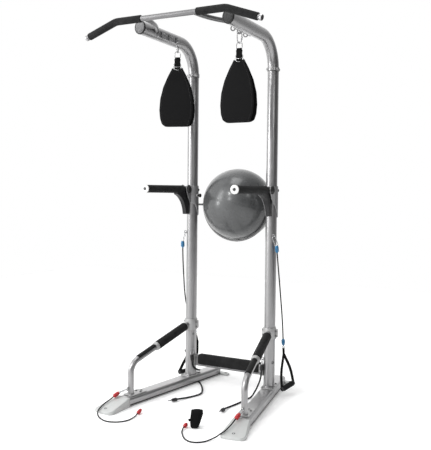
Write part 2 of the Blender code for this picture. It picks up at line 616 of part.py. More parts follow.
def arm_sleeve(side):
    centre = side * UPRIGHT_X
    sleeve = oval(SLEEVE_TAIL, SLEEVE_TOP, SLEEVE_CLEAR + SLEEVE_WALL, centre_x=centre)
    notch = [(-0.080, SLEEVE_TAIL - 0.02), (0.012, SLEEVE_TAIL - 0.02), (0.014, SLEEVE_TAIL), (-0.026, SLEEVE_LOW),
             (-0.080, SLEEVE_LOW)]
    cut(sleeve, side_plate(side, notch, -0.08, 0.08))
    ear = arc((PIVOT_Y, PIVOT_Z), EAR_R, 90, 235, 10) + [(-0.036, SLEEVE_LOW + 0.012), (-0.010, SLEEVE_LOW + 0.012),
                                                         (-0.010, PIVOT_Z + 0.018), (-0.036, PIVOT_Z + 0.018)]
    join(sleeve, side_plate(side, ear, EAR_IN, EAR_OUT), side_plate(side, ear, -EAR_OUT, -EAR_IN))
    inner = side * (UPRIGHT_X - TUBE_RX - SLEEVE_CLEAR)
    join(sleeve, cone((inner, PIN_Y, PIN_Z), (inner - side * 0.013, PIN_Y, PIN_Z), 0.009))
    cut(sleeve, oval(SLEEVE_TAIL - 0.05, SLEEVE_TOP + 0.05, SLEEVE_CLEAR, centre_x=centre))
    cut(sleeve, box((centre - 0.014, 0.0, SLEEVE_TAIL - 0.05), (centre + 0.014, 0.08, SLEEVE_TOP + 0.05)))
    cut(sleeve, cone((inner + side * 0.004, PIN_Y, PIN_Z), (inner - side * 0.02, PIN_Y, PIN_Z), 0.0046))
    for x in (EAR_IN, -EAR_OUT):
        hole = cone(arm_point(side, PIVOT_Y, PIVOT_Z, x - 0.004), arm_point(side, PIVOT_Y, PIVOT_Z, x + 0.009), 0.0066)
        cut(sleeve, hole)
    return as_part(sleeve, f"arm_sleeve_{side_name(side)}", STEEL)


def pull_pin(side):
    wall = UPRIGHT_X - TUBE_RX - SLEEVE_CLEAR
    stops = [(wall - 0.0008, 0.0040), (wall - 0.016, 0.0040), (wall - 0.0165, 0.0062), (wall - 0.020, 0.0062),
             (wall - 0.024, 0.0105), (wall - 0.034, 0.0105)]
    pin = None
    for (x0, r0), (x1, r1) in zip(stops[::2], stops[1::2]):
        piece = cone((side * x0, PIN_Y, PIN_Z), (side * (x1 - 0.001), PIN_Y, PIN_Z), r0, r1)
        pin = piece if pin is None else join(pin, piece)
    join(pin, cone((side * stops[3][0], PIN_Y, PIN_Z), (side * (stops[4][0] - 0.001), PIN_Y, PIN_Z), 0.0062, 0.0100))
    return as_part(pin, f"pull_pin_{side_name(side)}", CAP_BLACK)


def fold_bolt(side):
    reach = EAR_OUT + 0.0006
    bolt = cone(arm_point(side, PIVOT_Y, PIVOT_Z, -reach - 0.002), arm_point(side, PIVOT_Y, PIVOT_Z, reach + 0.002),
                0.0060)
    for way in (-1, 1):
        head = oval_knob(side, way, reach)
        join(bolt, head)
    return as_part(bolt, f"fold_bolt_{side_name(side)}", CAP_BLACK)


def oval_knob(side, way, reach):
    start = side * ARM_X + way * reach
    shape = Matrix.Translation((start + way * 0.006, PIVOT_Y, PIVOT_Z)) @ Matrix.Rotation(math.pi / 2, 4, "Y")
    shape = shape @ Matrix.Diagonal((0.024, 0.017, 0.012, 1.0))
    small, large = (0.75, 1.0) if way > 0 else (1.0, 0.75)
    return as_tool(mesh_from(lambda work: bmesh.ops.create_cone(work, cap_ends=True, segments=18, radius1=large,
                                                                radius2=small, depth=1.0, matrix=shape)))


def gusset_outline():
    curve = arc((-0.238, 1.070), 0.138, 74, 6, 7)
    return [(-0.200, PIVOT_Z - 0.008)] + curve + [(-0.094, 1.083), (-0.0455, 1.083), (-0.0475, PIVOT_Z - 0.010)]


def dip_arm(side):
    arm = cone(arm_point(side, PIVOT_Y, PIVOT_Z, -BARREL_HALF), arm_point(side, PIVOT_Y, PIVOT_Z, BARREL_HALF),
               BARREL_R, sides=20)
    tube = rod([arm_point(side, PIVOT_Y, PIVOT_Z), arm_point(side, ARM_TIP_Y, PIVOT_Z)], ARM_R, 6)
    join(arm, tube, side_plate(side, gusset_outline(), -GUSSET_HALF, GUSSET_HALF))
    cut(arm, cone(arm_point(side, PIVOT_Y, PIVOT_Z, -0.03), arm_point(side, PIVOT_Y, PIVOT_Z, 0.03), 0.0066))
    cut(arm, cone(arm_point(side, -0.110, PIVOT_Z), arm_point(side, ARM_TIP_Y - 0.02, PIVOT_Z), ARM_R - 0.0025))
    return as_part(arm, f"dip_arm_{side_name(side)}", BLACK_STEEL)


def arm_grip(side):
    inner = ARM_R + 0.0004
    ys = (PIVOT_Y - 0.0335, ARM_TIP_Y)
    skin = cone(arm_point(side, ys[0], PIVOT_Z), arm_point(side, ys[1], PIVOT_Z), ARM_GRIP_R + 0.002, ARM_GRIP_R, 20)
    cut(skin, cone(arm_point(side, ys[0] + 0.01, PIVOT_Z), arm_point(side, ys[1] - 0.01, PIVOT_Z), inner, sides=16))
    clearance = GUSSET_HALF + 0.0006
    room = [(y, z - 0.0006) for y, z in ((-0.2015, PIVOT_Z), (-0.2015, PIVOT_Z - 0.04), (-0.05, PIVOT_Z - 0.04),
                                         (-0.05, PIVOT_Z))]
    cut(skin, side_plate(side, room, -clearance, clearance))
    return as_part(skin, f"arm_grip_{side_name(side)}", FOAM)


def arm_cap(side):
    start = ARM_TIP_Y - GAP
    cap = cone(arm_point(side, start, PIVOT_Z), arm_point(side, start - 0.006, PIVOT_Z), ARM_CAP_R, ARM_CAP_R - 0.003, 24)
    join(cap, cone(arm_point(side, start - 0.003, PIVOT_Z), arm_point(side, start + 0.020, PIVOT_Z), ARM_R - 0.0030))
    cut(cap, cone(arm_point(side, start + 0.010, PIVOT_Z), arm_point(side, start - 0.02, PIVOT_Z), 0.0055))
    return as_part(cap, f"arm_cap_{side_name(side)}", CAP_WHITE)


# ---------------------------------------------------------------- ball and cradle

def ball():
    """A hollow ball with its valve hole at the back."""
    centre = (0, BALL_Y, BALL_Z)
    mesh = mesh_from(lambda work: bmesh.ops.create_uvsphere(work, u_segments=24, v_segments=14, radius=BALL_R,
                                                            matrix=Matrix.Translation(centre)))
    skin = hollow(as_tool(mesh), BALL_WALL)
    rear = BALL_Y + BALL_R
    cut(skin, cone((0, rear - 0.02, BALL_Z + 0.01), (0, rear + 0.02, BALL_Z + 0.01), 0.004, sides=8))
    return as_part(skin, "exercise_ball", BALL_SKIN)


def ball_cradle():
    """A hoop under the ball just ahead of its middle, a rib behind, and a bow that ties both to the uprights."""
    reach = BALL_R + BOW_R + 0.0014
    hoop_r = math.sqrt(reach ** 2 - HOOP_AHEAD ** 2)
    bow_r = math.sqrt(reach ** 2 - (BOW_Z - BALL_Z) ** 2)
    rise = math.degrees(math.asin((BOW_Z - BALL_Z) / hoop_r))
    hoop = [(x, BALL_Y - HOOP_AHEAD, z) for x, z in arc((0, BALL_Z), hoop_r, 180 - rise, 360 + rise, 20)]
    drop = math.degrees(math.asin(HOOP_AHEAD / reach))
    rise = math.degrees(math.asin((BOW_Z - BALL_Z) / reach))
    rib = [(0, y, z) for y, z in arc((BALL_Y, BALL_Z), reach, 270 - drop, 360 + rise, 9)]
    back = TUBE_RY + GAP
    lead = [(UPRIGHT_X, back, BOW_Z), (UPRIGHT_X, back + 0.009, BOW_Z), (UPRIGHT_X - 0.014, back + 0.026, BOW_Z)]
    turn = math.degrees(math.asin(HOOP_AHEAD / bow_r))
    sweep = [(x, y, BOW_Z) for x, y in arc((0, BALL_Y), bow_r, -turn, 180 + turn, 14)]
    bow = lead + sweep + [(-x, y, z) for x, y, z in reversed(lead)]
    cradle = join(rod(bow, BOW_R, 1), rod(hoop, BOW_R, 1), rod(rib, BOW_R, 1))
    return as_part(cradle, "ball_cradle", STEEL)


# ---------------------------------------------------------------- slings

def sling_axis(side):
    return Vector((side * HOOK_X, HOOK_YS[SLING_HOOK[side]], 0.0))


def link(half, tall, wire, top, place, resolution=2, steps=7):
    """A long closed link hanging from its top, in the plane of its frame's X and Z."""
    low = top - tall
    upper = [(x, z) for x, z in arc((0, top - half), half, 0, 180, steps)]
    lower = [(x, z) for x, z in arc((0, low + half), half, 180, 360, steps)]
    return rod([(x, 0, z) for x, z in upper + lower], wire, resolution, place, cyclic=True)


def carabiner(side):
    top = HOOK_Z - HOOK_MAJOR + HOOK_WIRE + CARABINER_WIRE + HOOK_SLACK
    place = Matrix.Translation(sling_axis(side)) @ Matrix.Rotation(CARABINER_TURN[side], 4, "Z")
    made = link(CARABINER_HALF, CARABINER_TALL, CARABINER_WIRE, top, place, 1, 6)
    return as_part(made, f"carabiner_{side_name(side)}", CHROME)


def sling_ring(side):
    bottom = HOOK_Z - HOOK_MAJOR + HOOK_WIRE + CARABINER_WIRE + HOOK_SLACK - CARABINER_TALL
    top = bottom + CARABINER_WIRE + 0.0025 + 0.0018
    place = Matrix.Translation(sling_axis(side)) @ Matrix.Rotation(SLING_TURN[side], 4, "Z")
    made = link(0.0170, 0.036, 0.0025, top, place, 1, 6)
    return as_part(made, f"sling_ring_{side_name(side)}", CHROME)


def sling_profile(inset):
    """The loop seen from the side, in (y, z): a drop, pinched at its top."""
    low = SLING_BOTTOM + inset
    radius = SLING_DEPTH / 2 - inset
    foot = arc((0, low + radius), radius, 205, 335, 10)
    top = SLING_TOP - inset * 6
    return [(-0.003, top)] + [(-radius * 0.86, low + radius * 3.4)] + foot + [(radius * 0.86, low + radius * 3.4),
                                                                             (0.003, top)]


def sling(side):
    turn = Matrix.Translation(sling_axis(side)) @ Matrix.Rotation(SLING_TURN[side], 4, "Z")
    along_x = Matrix.Rotation(math.pi / 2, 4, "Z") @ Matrix.Rotation(math.pi / 2, 4, "X")
    loop = outline_solid([sling_profile(0.0), sling_profile(SLING_SKIN)], 0.105, turn @ along_x)
    half = [(w, z) for z, w in SLING_WIDTHS]
    front = half + [(-w, z) for w, z in reversed(half)]
    face = outline_solid([front], 0.06, turn @ Matrix.Rotation(math.pi / 2, 4, "X"))
    boolean(loop, face, "INTERSECT")
    join(loop, box((-NECK_HALF, -0.0045, SLING_TOP - 0.016), (NECK_HALF, 0.0045, 2.0080), turn))
    return as_part(loop, f"sling_{side_name(side)}", FABRIC)


# ---------------------------------------------------------------- resistance cords

def cord(name):
    radius, route = ROUTES[name]
    points = smooth_route(route, radius * 2 * CORD_STEP)
    return as_part(as_tool(pipe_mesh(points, radius, 2)), name, CORD_RUBBER)


def cord_end(name, last):
    """The tip of a cord, the way out of it, and its radius."""
    radius, route = ROUTES[name]
    points = smooth_route(route, radius * 2 * CORD_STEP)
    tip, inside = (points[-1], points[-2]) if last else (points[0], points[1])
    return tip, (tip - inside).normalized(), radius


def barrel(tip, out, thin, radius, length, neck):
    """A moulded cord end in line with its cord: a waist, a swelling, a taper and a neck."""
    profile = [(0.0, thin + 0.0015), (length * 0.30, radius * 0.93), (length * 0.45, radius), (length, radius * 0.72)]
    if neck:
        profile += [(length + 0.0002, 0.0030), (length + neck, 0.0030)]
    return lathe(profile, Matrix.Translation(tip + out * GAP) @ turned_to(out))


def anchor(cord_name, name, spec, wire, tangent, radius, slack=0.0014):
    """The end of a cord that is clipped to an eye: a barrel, and a long link round the eye's wire."""
    tip, out, thin = cord_end(cord_name, False)
    body = barrel(tip, out, thin, radius, 0.044, 0)
    top = tip + out * 0.044
    away = Vector(wire) - top
    apex = away.length + EYE_WIRE + LINK_WIRE + slack
    lift = away.normalized()
    across = Vector(tangent).cross(lift).normalized()
    turn = Matrix((across, lift.cross(across), lift)).transposed().to_4x4()
    join(body, link(LINK_HALF, apex + 0.004, LINK_WIRE, apex, Matrix.Translation(top) @ turn, 1, 5))
    return as_part(body, name, spec)


def under_eye(side, degrees, height):
    centre, out = eye_centre(side, degrees, height)
    return centre - Vector((0, 0, EYE_MAJOR)), out


def free_end(cord_name, name, spec, radius, length, neck=0.0, ring_major=0.0, extras=()):
    """The loose end of a cord: a barrel, with a snap ring on its neck or with what hangs from the ring."""
    tip, out, thin = cord_end(cord_name, True)
    body = barrel(tip, out, thin, radius, length, neck)
    if ring_major:
        hoop = tip + out * (length + neck + ring_major - 0.0016)
        level = out.cross((0, 0, 1)) if abs(out.z) > 0.7 else Vector((0, 0, 1))
        join(body, ring(hoop, ring_major, 0.0022, turned_to(level), 12, 6))
    join(body, *extras)
    return as_part(body, name, spec)


def stirrup(cord_name, left, right):
    """A webbing stirrup below a cord: one strap that splits in two, down to the ends of a round grip."""
    tip, out, _ = cord_end(cord_name, True)
    top, fork = tip + out * 0.058, tip + out * 0.100
    left, right = Vector(left), Vector(right)
    along = (right - left).normalized()
    pieces = [cone(left, right, 0.0160, sides=12), cone(left - along * 0.010, right + along * 0.010, 0.0085, sides=8)]
    pieces.append(rod([top, fork], 0.0050, 1))
    for foot, away in ((left, -along), (right, along)):
        end = foot + away * 0.006
        middle = fork.lerp(end, 0.5) + away * 0.012
        pieces.append(rod(smooth_route([fork - out * 0.004, middle, end], 0.03), 0.0046, 1))
    return pieces


def cuff():
    """An ankle cuff standing on its edge: a flattened loop of padded webbing, wider at its top."""
    place = Matrix.Translation((0.160, -0.699, 0.0)) @ Matrix.Rotation(math.radians(30), 4, "Z")
    tall, deep, skin = 0.094, 0.046, 0.009
    outer = fillet([(-deep / 2, 0.001), (deep / 2, 0.001), (deep / 2, tall), (-deep / 2, tall)], (0.018,) * 4, 4, True)
    inner = fillet([(-deep / 2 + skin, skin), (deep / 2 - skin, skin), (deep / 2 - skin, tall - skin),
                    (-deep / 2 + skin, tall - skin)], (0.010,) * 4, 4, True)
    along_x = Matrix.Rotation(math.pi / 2, 4, "Z") @ Matrix.Rotation(math.pi / 2, 4, "X")
    loop = outline_solid([outer, inner], 0.05, place @ along_x)
    face = [(-0.027, -0.01), (0.010, -0.01), (0.036, 0.080), (0.030, 0.10), (-0.026, 0.10), (-0.033, 0.030)]
    boolean(loop, outline_solid([face], 0.05, place @ Matrix.Rotation(math.pi / 2, 4, "X")), "INTERSECT")
    return as_part(loop, "ankle_cuff", FABRIC)


def cords():
    for name in ROUTES:
        cord(name)
    for side in (-1, 1):
        tag = side_name(side)
        anchor(f"side_cord_{tag}", f"side_clip_{tag}", BLUE, *under_eye(side, *SIDE_EYE), 0.0085)
        anchor(f"floor_cord_{tag}", f"floor_clip_{tag}", CAP_BLACK, *under_eye(side, *FLOOR_EYE), 0.0095)
        front = runner_frame(side) @ (HANDLE_EYE - Vector((0, EYE_MAJOR, 0)))
        anchor(f"front_cord_{tag}", f"front_clip_{tag}", RED, front, (0, 0, 1), 0.0095, 0.0030)
        free_end(f"floor_cord_{tag}", f"floor_end_{tag}", CAP_BLACK, 0.0095, 0.042, 0.010, 0.0080)
    free_end("front_cord_L", "front_end_L", RED, 0.0095, 0.048)
    free_end("front_cord_R", "front_end_R", RED, 0.0095, 0.032, 0.005)
    free_end("side_cord_L", "side_end_L", BLUE, 0.0085, 0.038, 0.006, 0.0080, stirrup("side_cord_L", *STIRRUP_L))
    free_end("side_cord_R", "side_end_R", BLUE, 0.0085, 0.038, 0.006, 0.0080, stirrup("side_cord_R", *STIRRUP_R))


def build():
    for side in (-1, 1):
        runner(side)
        front_foot(side)
        upright(side)
        boom(side)
        boom_cap(side)
        bar_grip(side)
        push_up_handle(side)
        handle_grip(side, "lower")
        handle_grip(side, "upper")
        arm_sleeve(side)
        pull_pin(side)
        fold_bolt(side)
        dip_arm(side)
        arm_grip(side)
        arm_cap(side)
        carabiner(side)
        sling_ring(side)
        sling(side)
    pull_up_bar()
    foot_bar()
    foot_bar_pad()
    ball()
    ball_cradle()
    cuff()
    cords()


build()
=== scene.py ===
"""Looks of the power tower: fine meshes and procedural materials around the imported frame."""

import math

import bmesh
import bpy
from mathutils import Matrix, Vector


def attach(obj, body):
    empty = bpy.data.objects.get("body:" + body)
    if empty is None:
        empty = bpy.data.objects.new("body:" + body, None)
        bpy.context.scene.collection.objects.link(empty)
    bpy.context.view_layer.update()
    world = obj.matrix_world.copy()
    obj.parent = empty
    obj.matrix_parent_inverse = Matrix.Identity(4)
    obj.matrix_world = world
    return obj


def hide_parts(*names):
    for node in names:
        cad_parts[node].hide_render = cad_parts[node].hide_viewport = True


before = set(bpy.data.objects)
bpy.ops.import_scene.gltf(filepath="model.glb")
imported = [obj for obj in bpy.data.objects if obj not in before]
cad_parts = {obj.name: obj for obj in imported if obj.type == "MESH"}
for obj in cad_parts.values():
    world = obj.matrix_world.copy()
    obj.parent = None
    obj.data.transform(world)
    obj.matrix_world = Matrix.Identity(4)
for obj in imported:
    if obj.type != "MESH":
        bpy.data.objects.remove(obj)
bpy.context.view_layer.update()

# ---------------------------------------------------------------- dimensions, in metres

SHIFT_Y = 0.2164        # the plan is laid out from the line between the uprights
UPRIGHT_X, TUBE_RX, TUBE_RY = 0.272, 0.033, 0.038
SPLIT_Z, BOOM_Z, BOOM_BEND, BOOM_FRONT = 1.945, 2.128, 0.17, -0.6
SPLAY = math.atan(0.165)
RUNNER_LOW, RUNNER_TOP, RUNNER_FRONT, RUNNER_REAR = 0.012, 0.052, -0.6, 0.262
BAR_Y, BAR_Z, BAR_R = -0.75, 2.13, 0.0145
HANDLE_R, HANDLE_FOOT, HANDLE_SLOPE, HANDLE_KNEE_Z = 0.0175, 0.548, 0.294, 0.23
ARM_X, PIVOT_Y, PIVOT_Z, ARM_TIP_Y = 0.282, -0.07, 1.238, -0.524
PIN_Y, PIN_Z = -0.012, 1.2
BALL_R, BALL_Y, BALL_Z = 0.2225, 0.105, 1.148
HOOK_X, HOOK_Z, HOOK_MAJOR, HOOK_WIRE = 0.2215, 2.108, 0.013, 0.0035
LINK_TOP = HOOK_Z - HOOK_MAJOR + HOOK_WIRE + 0.005      # top of a carabiner's wire centreline
HOOK_YS = (-0.445, -0.365, -0.285)
SLING_HOOK = {-1: 2, 1: 1}
CARABINER_TURN = {-1: 100, 1: 50}
SLING_TURN = {-1: 15, 1: 0}

SIDE_EYE, FLOOR_EYE = (45, 0.968), (-45, 0.226)         # cord eyes: degrees round the upright, height
CLIP_BARREL = 0.044                                     # length of a cord's fixed end
FOOT_TIP, FOOT_TIP_TOP = -0.78, 0.014
CRADLE_ROD, HOOP_AHEAD = 0.0065, 0.035                  # the hoop lies this far in front of the ball's centre
BRACE_ARC, BRACE_START = 0.42, 0.15
EAR_IN, EAR_OUT = 0.019, 0.0235
LINK_TALL = 0.06                                       # height of a sling's snap link
SLEEVE_TOP, SLEEVE_FRONT_LOW = 1.262, 1.15

X_AXIS, Y_AXIS, Z_AXIS, FORWARD = (1, 0, 0), (0, 1, 0), (0, 0, 1), (0, -1, 0)
ORIGIN = Matrix.Translation((0, SHIFT_Y, 0))
SIDES = ((-1, "L"), (1, "R"))


def runner_frame(side):
    """Frame of one runner: -Y along it to the front."""
    return ORIGIN @ Matrix.Translation((side * UPRIGHT_X, 0, 0)) @ Matrix.Rotation(side * SPLAY, 4, "Z")


def turned_to(direction):
    return Vector(direction).to_track_quat("Z", "Y").to_matrix().to_4x4()


def add(name, data):
    made = bpy.data.objects.new(name, data)
    bpy.context.scene.collection.objects.link(made)
    return made


# ---------------------------------------------------------------- materials

def set_sockets(shader, values):
    """Sets a node's sockets; _ in a name stands for a space."""
    for socket, value in values.items():
        shader.inputs[socket.replace("_", " ")].default_value = value


def node(tree, kind, **values):
    made = tree.nodes.new("ShaderNode" + kind)
    set_sockets(made, values)
    return made


def textured(tree, kind, **values):
    """A texture node in the object's own coordinates."""
    made = node(tree, kind, **values)
    coords = tree.nodes.get("Texture Coordinate") or node(tree, "TexCoord")
    tree.links.new(coords.outputs["Object"], made.inputs["Vector"])
    return made


def noise(tree, scale, detail=3.0, rough=0.5):
    return textured(tree, "TexNoise", Scale=scale, Detail=detail, Roughness=rough).outputs["Fac"]


def spread(tree, value, low, high, from_low=0.3, from_high=0.7):
    made = node(tree, "MapRange", From_Min=from_low, From_Max=from_high, To_Min=low, To_Max=high)
    tree.links.new(value, made.inputs["Value"])
    return made.outputs["Result"]


def feed(tree, socket, output):
    tree.links.new(output, tree.nodes["Principled BSDF"].inputs[socket])


def colour(tree, value, dark, light):
    """Base colour from dark to light as value rises."""
    made = node(tree, "Mix")
    made.data_type = "RGBA"
    made.inputs[6].default_value, made.inputs[7].default_value = (*dark, 1.0), (*light, 1.0)
    tree.links.new(value, made.inputs[0])
    feed(tree, "Base Color", made.outputs[2])


def bump(tree, height, strength, distance):
    made = node(tree, "Bump", Strength=strength, Distance=distance)
    tree.links.new(height, made.inputs["Height"])
    feed(tree, "Normal", made.outputs["Normal"])


def new_material(name, **values):
    made = bpy.data.materials.new(name)
    made.use_nodes = True
    set_sockets(made.node_tree.nodes["Principled BSDF"], values)
    return made, made.node_tree


def toned(rgb, change):
    return tuple(min(1.0, channel * (1 + change)) for channel in rgb)


def surface(name, rgb, rough, metallic, tone, tone_scale, rough_by, rough_scale, grain, grain_scale,
            grain_depth, coat=(0.0, 0.03)):
    """A painted or moulded surface: slow colour drift, uneven gloss and a fine grain."""
    made, tree = new_material(name, Metallic=metallic, Coat_Weight=coat[0], Coat_Roughness=coat[1])
    colour(tree, spread(tree, noise(tree, tone_scale, 4.0), 0.0, 1.0), toned(rgb, -tone), toned(rgb, tone))
    feed(tree, "Roughness", spread(tree, noise(tree, rough_scale, 2.0), rough - rough_by, rough + rough_by))
    bump(tree, noise(tree, grain_scale, 2.0), grain, grain_depth)
    return made


def woven(name, rgb, pitch, rough=0.92, depth=0.6, tone=0.35):
    """Webbing, canvas or braid: two crossed sets of ribs with slightly uneven yarns."""
    made, tree = new_material(name, Roughness=rough, Specular_IOR_Level=0.15)
    weave, fuzz = node(tree, "Math"), node(tree, "Math")
    weave.operation, fuzz.operation = "MULTIPLY", "MULTIPLY_ADD"
    for slot, direction, closeness in ((0, "DIAGONAL", 0.6), (1, "Z", 1.0)):
        wave = textured(tree, "TexWave", Scale=0.314 / pitch * closeness, Distortion=0.6)
        wave.wave_type, wave.bands_direction = "BANDS", direction
        tree.links.new(wave.outputs["Fac"], weave.inputs[slot])
    fuzz.inputs[1].default_value = 0.35
    tree.links.new(noise(tree, 900.0), fuzz.inputs[0])
    tree.links.new(weave.outputs[0], fuzz.inputs[2])
    colour(tree, fuzz.outputs[0], toned(rgb, -tone), toned(rgb, tone))
    bump(tree, fuzz.outputs[0], depth, 0.0006)
    return made


def foam(name, rgb):
    """Closed-cell foam: a skin of tiny cells with faint scuffs."""
    made, tree = new_material(name, Sheen_Weight=0.02, Specular_IOR_Level=0.22)
    cells = textured(tree, "TexVoronoi", Scale=620.0).outputs["Distance"]
    scuff = spread(tree, noise(tree, 22.0, 6.0, 0.7), 0.0, 1.0, 0.42, 0.72)
    colour(tree, scuff, rgb, tuple(channel * 2.1 + 0.004 for channel in rgb))
    feed(tree, "Roughness", spread(tree, cells, 0.95, 0.78, 0.0, 0.8))
    bump(tree, cells, 0.45, 0.0006)
    return made


def ball_skin():
    """Dark rubbery vinyl with a thin, uneven shine."""
    made, tree = new_material("ball_skin_look", Metallic=0.25, Coat_Weight=0.3, Coat_Roughness=0.16,
                              Specular_IOR_Level=0.35)
    drift = spread(tree, noise(tree, 5.0, 5.0, 0.6), 0.0, 1.0)
    colour(tree, drift, (0.06, 0.062, 0.063), (0.105, 0.108, 0.109))
    feed(tree, "Roughness", spread(tree, noise(tree, 26.0, 5.0, 0.6), 0.22, 0.38))
    bump(tree, noise(tree, 30.0), 0.35, 0.0012)
    return made


# Each look: its material's name, the record's slot, colour, roughness, metallic, colour drift and its scale,
# gloss drift and its scale, the grain's strength, scale and depth in metres, a coat's weight and roughness.
SURFACES = {
    "paint": ("silver_paint", "frame_steel", (0.325, 0.323, 0.327), 0.33, 0.9, 0.05, 5, 0.05, 40, 0.02, 700,
              0.0001, (0.25, 0.22)),
    # bar: the silver paint made darker, as painted shade on the pull-up bar and on the tray under the foot
    # pad
    "bar": ("bar_paint", "frame_steel", (0.17, 0.169, 0.172), 0.33, 0.85, 0.05, 5, 0.05, 40, 0.02, 700,
            0.0001, (0.2, 0.22)),
    "plate": ("plate_paint", "frame_steel", (0.4, 0.4, 0.4), 0.42, 0.55, 0.06, 9, 0.06, 50, 0.08, 1100,
              0.0004),
    "sleeve": ("sleeve_paint", "frame_steel", (0.31, 0.31, 0.315), 0.38, 0.6, 0.08, 12, 0.06, 60, 0.1, 1200,
               0.0004),
    # cradle: light steel made dark, as painted shade on the cradle's rods
    "cradle": ("cradle_steel", "frame_steel", (0.17, 0.17, 0.172), 0.32, 0.85, 0.06, 20, 0.06, 80, 0.03, 900,
               0.0001),
    "foot": ("foot_coat", "foot_grey", (0.47, 0.48, 0.475), 0.5, 0.1, 0.05, 10, 0.05, 70, 0.25, 650, 0.0005),
    "black": ("black_coat", "black_steel", (0.01, 0.01, 0.011), 0.42, 0.25, 0.25, 14, 0.08, 90, 0.2, 900,
              0.0004),
    "plastic": ("black_moulding", "black_plastic", (0.009, 0.009, 0.01), 0.4, 0.0, 0.2, 30, 0.08, 120, 0.25,
                900, 0.0004),
    "cap_black": ("cap_black_look", "cap_black", (0.004, 0.004, 0.0045), 0.48, 0.0, 0.2, 30, 0.08, 120, 0.2,
                  900, 0.0004),
    "cap_grey": ("cap_grey_look", "cap_grey", (0.13, 0.13, 0.133), 0.45, 0.1, 0.08, 30, 0.06, 120, 0.2, 900,
                 0.0004),
    "white": ("white_moulding", "white_plastic", (0.64, 0.64, 0.63), 0.32, 0.0, 0.03, 25, 0.05, 90, 0.1, 800,
              0.0003, (0.2, 0.03)),
    "red": ("red_moulding", "red_plastic", (0.4, 0.004, 0.008), 0.38, 0.0, 0.12, 40, 0.06, 150, 0.15, 900,
            0.0003, (0.3, 0.03)),
    "blue": ("blue_moulding", "blue_plastic", (0.007, 0.125, 0.27), 0.33, 0.0, 0.12, 40, 0.06, 150, 0.15, 900,
             0.0003, (0.3, 0.03)),
    "chrome": ("bright_steel", "chrome", (0.4, 0.4, 0.405), 0.24, 1.0, 0.04, 60, 0.07, 200, 0.05, 1500,
               0.0002),
    "zinc": ("zinc_bolt", "chrome", (0.24, 0.24, 0.24), 0.36, 0.9, 0.1, 90, 0.1, 260, 0.1, 1500, 0.0003),
    "thread": ("stitch_thread", "fabric", (0.05, 0.05, 0.052), 0.8, 0.0, 0.2, 200, 0.05, 300, 0.4, 1500,
               0.0003),
}
LOOK = {look: (surface(name, *values), slot) for look, (name, slot, *values) in SURFACES.items()}
LOOK["foam"] = foam("grip_foam", (0.006, 0.006, 0.0063)), "foam"
LOOK["ball"] = ball_skin(), "ball_skin"
LOOK["canvas"] = woven("sling_canvas", (0.005, 0.005, 0.0053), 0.0016, depth=0.4), "fabric"
LOOK["webbing"] = woven("strap_webbing", (0.0045, 0.0045, 0.0048), 0.0012), "fabric"
LOOK["sheath"] = woven("cord_sheath", (0.012, 0.012, 0.013), 0.0014, 0.55, 0.5, 0.3), "cord_rubber"


# ---------------------------------------------------------------- mesh building

def ellipse(rx, ry=None, sides=40):
    ry = rx if ry is None else ry
    return [(rx * math.cos(2 * math.pi * i / sides), ry * math.sin(2 * math.pi * i / sides))
            for i in range(sides)]


def arc(centre, radius, start_deg, end_deg, steps):
    angles = [math.radians(start_deg + (end_deg - start_deg) * i / steps) for i in range(steps + 1)]
    return [(centre[0] + radius * math.cos(a), centre[1] + radius * math.sin(a)) for a in angles]


def rounded(points, radii, steps=6):
    """A closed flat outline with its corners rounded."""
    out = []
    for i, point in enumerate(points):
        here = Vector(point)
        if radii[i] == 0:
            out.append(tuple(here))
            continue
        before = (Vector(points[i - 1]) - here).normalized()
        after = (Vector(points[(i + 1) % len(points)]) - here).normalized()
        half = before.angle(after) / 2
        centre = here + (before + after).normalized() * radii[i] / math.sin(half)
        first = here + before * radii[i] / math.tan(half) - centre
        last = here + after * radii[i] / math.tan(half) - centre
        angle = first.angle_signed(last)
        out += [tuple(centre + Matrix.Rotation(-angle * k / steps, 2) @ first) for k in range(steps + 1)]
    return out


def rectangle(half_x, half_y, radius, steps=6):
    corners = [(-half_x, -half_y), (half_x, -half_y), (half_x, half_y), (-half_x, half_y)]
    return rounded(corners, (radius,) * 4, steps)


def tangents_of(points, closed):
    count = len(points)
    out = []
    for i in range(count):
        before = points[i - 1] if closed or i > 0 else points[i]
        after = points[(i + 1) % count] if closed or i < count - 1 else points[i]
        out.append((after - before).normalized())
    return out


def walls(rings, count, closed=False):
    """Quads between neighbouring rings of count vertices, and two end faces unless the rings close."""
    faces = []
    for i in range(rings if closed else rings - 1):
        a, b = i * count, (i + 1) % rings * count
        for j in range(count):
            k = (j + 1) % count
            faces.append((a + j, a + k, b + k, b + j))
    if not closed:
        faces.append(tuple(range(count))[::-1])
        faces.append(tuple(range((rings - 1) * count, rings * count)))
    return faces


def two_skins(rows, columns, closed=False):
    """Faces of a thick sheet: two skins of rows by columns + 1 vertices, joined at their edges."""
    across, shell = columns + 1, rows * (columns + 1)
    faces = []
    for i in range(rows if closed else rows - 1):
        left, below = i * across, (i + 1) % rows * across
        for a, b in zip(range(left, left + columns), range(below, below + columns)):
            faces.append((a, a + 1, b + 1, b))
            faces.append((shell + b, shell + b + 1, shell + a + 1, shell + a))
        faces.append((left, below, shell + below, shell + left))
        a, b = left + columns, below + columns
        faces.append((a, shell + a, shell + b, b))
    if not closed:
        last = (rows - 1) * across
        faces += [(a, shell + a, shell + a + 1, a + 1) for a in range(columns)]
        faces += [(a, a + 1, shell + a + 1, shell + a) for a in range(last, last + columns)]
    return faces


